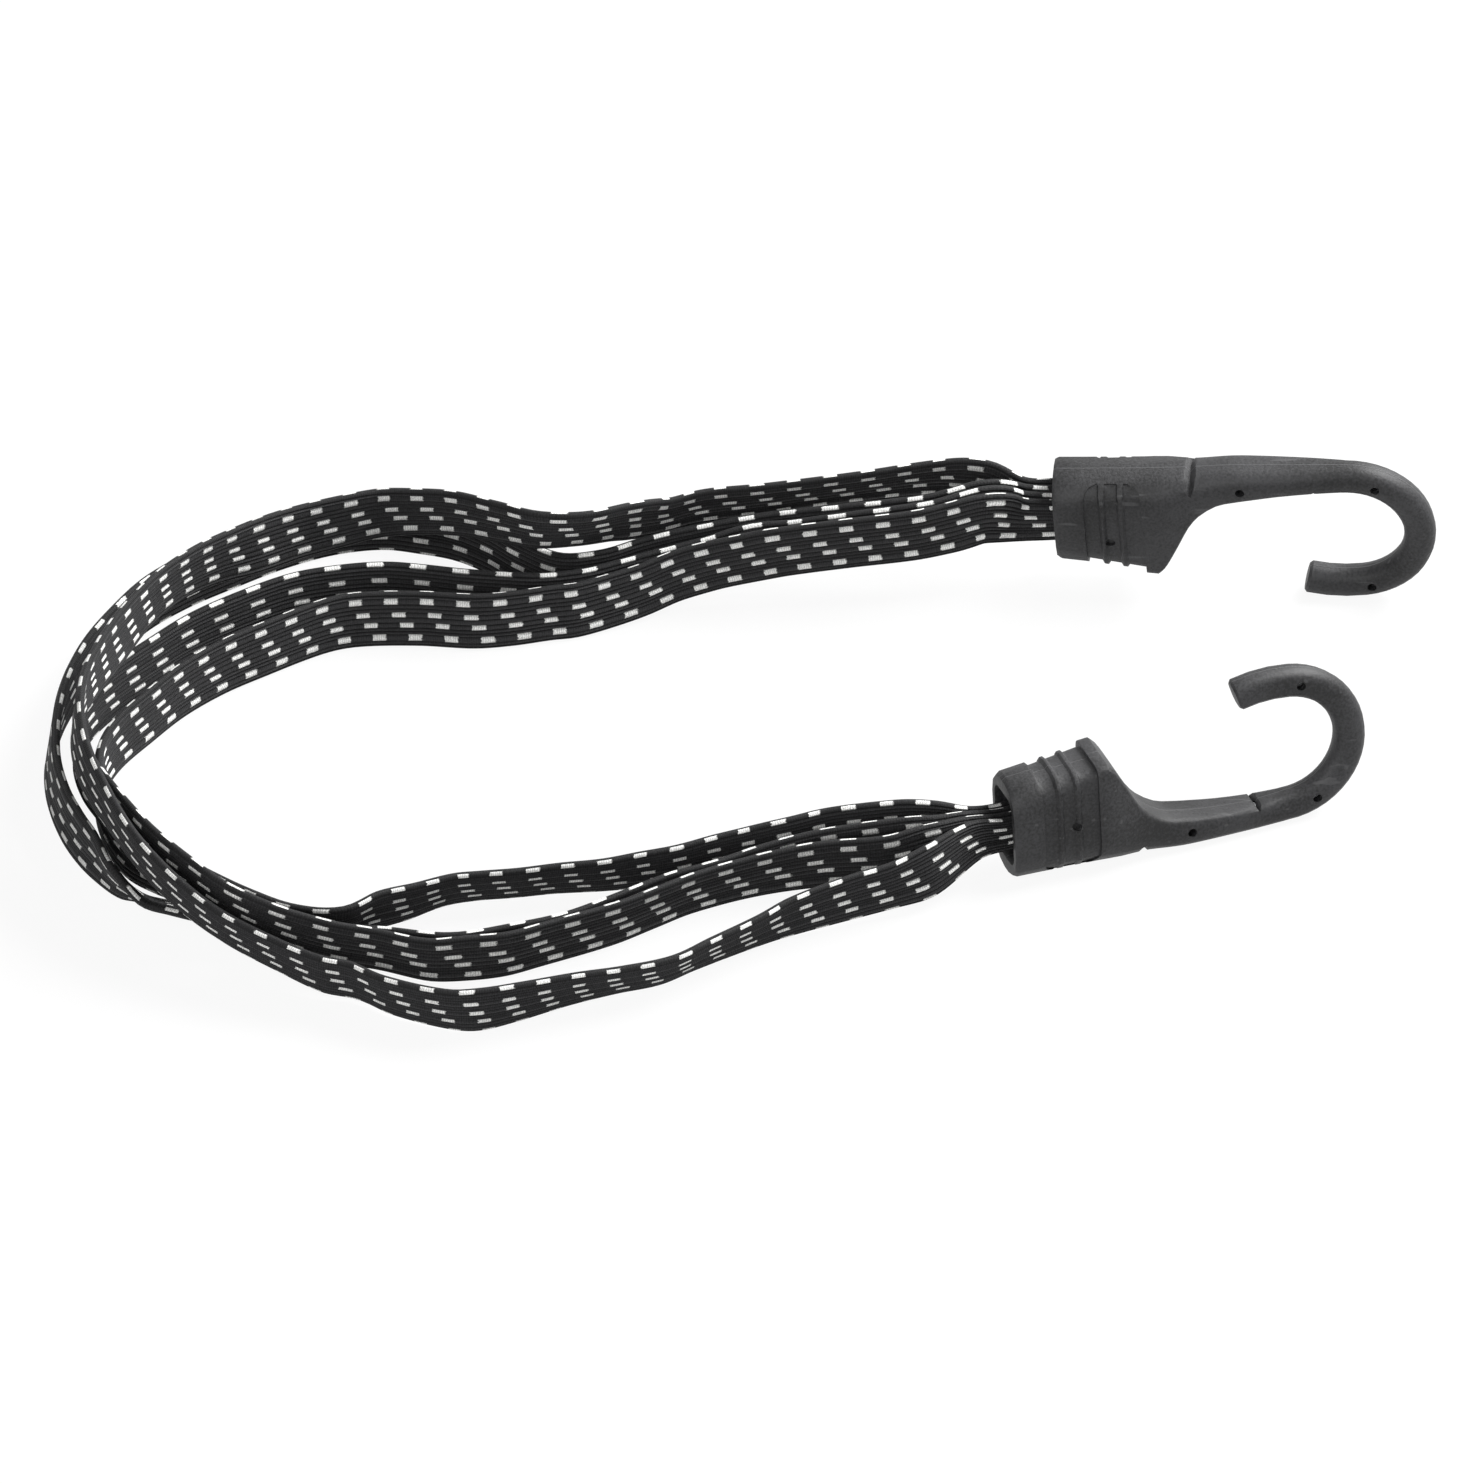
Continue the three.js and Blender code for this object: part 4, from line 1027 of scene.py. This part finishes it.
class BUNGEE_OT_bands(bpy.types.Operator):
    """Make the woven covers and the rubber threads of the four bands"""

    bl_idname = "bungee.bands"
    bl_label = "Bands"

    def execute(self, context):
        settings = context.scene.bungee_bands
        woven = woven_material(settings)
        rubber = rubber_material(settings)
        inner_outline = core_outline(settings)
        for name, band in BANDS.items():
            outline = cover_outline(band, settings)
            starts = ACROSS_STARTS[band["inside"]], ACROSS_STARTS[band["outside"]]
            for end, (points, along, length) in band_halves(name, settings).items():
                cover = strip_mesh(
                    f"{name}_band_{end}_half", points, outline, along, starts, settings.cover_wall
                )
                core = strip_mesh(
                    f"{name}_band_rubber_{end}_half", points, inner_outline, along, (0, 0)
                )
                for piece, material, slot in (
                    (cover, woven, "woven_elastic"),
                    (core, rubber, "rubber_thread"),
                ):
                    sharpen_ends(piece)
                    dress(piece, material)
                    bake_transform(piece)
                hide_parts(f"{name}_band_woven_cover")
                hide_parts(f"{name}_band_rubber_core")
        return {"FINISHED"}


class BUNGEE_OT_hooks(bpy.types.Operator):
    """Finish the two moulded hooks"""

    bl_idname = "bungee.hooks"
    bl_label = "Hooks"

    def execute(self, context):
        settings = context.scene.bungee_hooks
        plastic = plastic_material(settings)
        for end in HOOKS:
            hook = smooth_copy(f"{end}_hook_moulding", f"{end}_hook", settings)
            mark_across(hook, HOOKS[end])
            dress(hook, plastic)
            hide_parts(f"{end}_hook_moulding")
            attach(hook, f"{end}_hook")
        return {"FINISHED"}


class BUNGEE_OT_steel(bpy.types.Operator):
    """Finish the steel cores of the hooks and the clamps on the band ends"""

    bl_idname = "bungee.steel"
    bl_label = "Steel parts"

    def execute(self, context):
        settings = context.scene.bungee_hooks
        wire = steel_material(settings, "core_steel", WIRE_RELIEF)
        strip = steel_material(settings, "clamp_steel", CLAMP_RELIEF)
        for end in HOOKS:
            for piece, material in (("hook_steel_core", wire), ("band_clamp", strip)):
                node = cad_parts[f"{end}_{piece}"]
                node.data.materials.clear()
                node.data.materials.append(material)
        return {"FINISHED"}


class BUNGEE_PT_panel(bpy.types.Panel):
    """Sidebar panel that lists the steps and their settings"""

    bl_idname = "BUNGEE_PT_panel"
    bl_label = "Bungee cord"
    bl_space_type = "VIEW_3D"
    bl_region_type = "UI"
    bl_category = "Bungee"

    def draw(self, context):
        for label, settings, steps in PANEL_SECTIONS:
            box = self.layout.box()
            box.label(text=label)
            group = getattr(context.scene, settings)
            for name in group.bl_rna.properties.keys():
                if name not in ("rna_type", "name"):
                    box.prop(group, name)
            for step in steps:
                box.operator(step)


PANEL_SECTIONS = (
    ("Bands", "bungee_bands", ("bungee.bands",)),
    ("Hooks", "bungee_hooks", ("bungee.hooks", "bungee.steel")),
    ("Studio", "bungee_stage", ("bungee.stage",)),
)
CLASSES = (
    BandSettings,
    HookSettings,
    StageSettings,
    BUNGEE_OT_stage,
    BUNGEE_OT_bands,
    BUNGEE_OT_hooks,
    BUNGEE_OT_steel,
    BUNGEE_PT_panel,
)


def register():
    """Registers the settings, the steps and the panel."""
    for each in CLASSES:
        bpy.utils.register_class(each)
    bpy.types.Scene.bungee_bands = bpy.props.PointerProperty(type=BandSettings)
    bpy.types.Scene.bungee_hooks = bpy.props.PointerProperty(type=HookSettings)
    bpy.types.Scene.bungee_stage = bpy.props.PointerProperty(type=StageSettings)


def unregister():
    """Removes the settings, the steps and the panel."""
    del bpy.types.Scene.bungee_stage
    del bpy.types.Scene.bungee_hooks
    del bpy.types.Scene.bungee_bands
    for each in reversed(CLASSES):
        bpy.utils.unregister_class(each)


def main():
    """Builds the scene step by step."""
    register()
    bpy.ops.bungee.stage()
    bpy.ops.bungee.bands()
    bpy.ops.bungee.hooks()
    bpy.ops.bungee.steel()


if __name__ == "__main__":
    main()
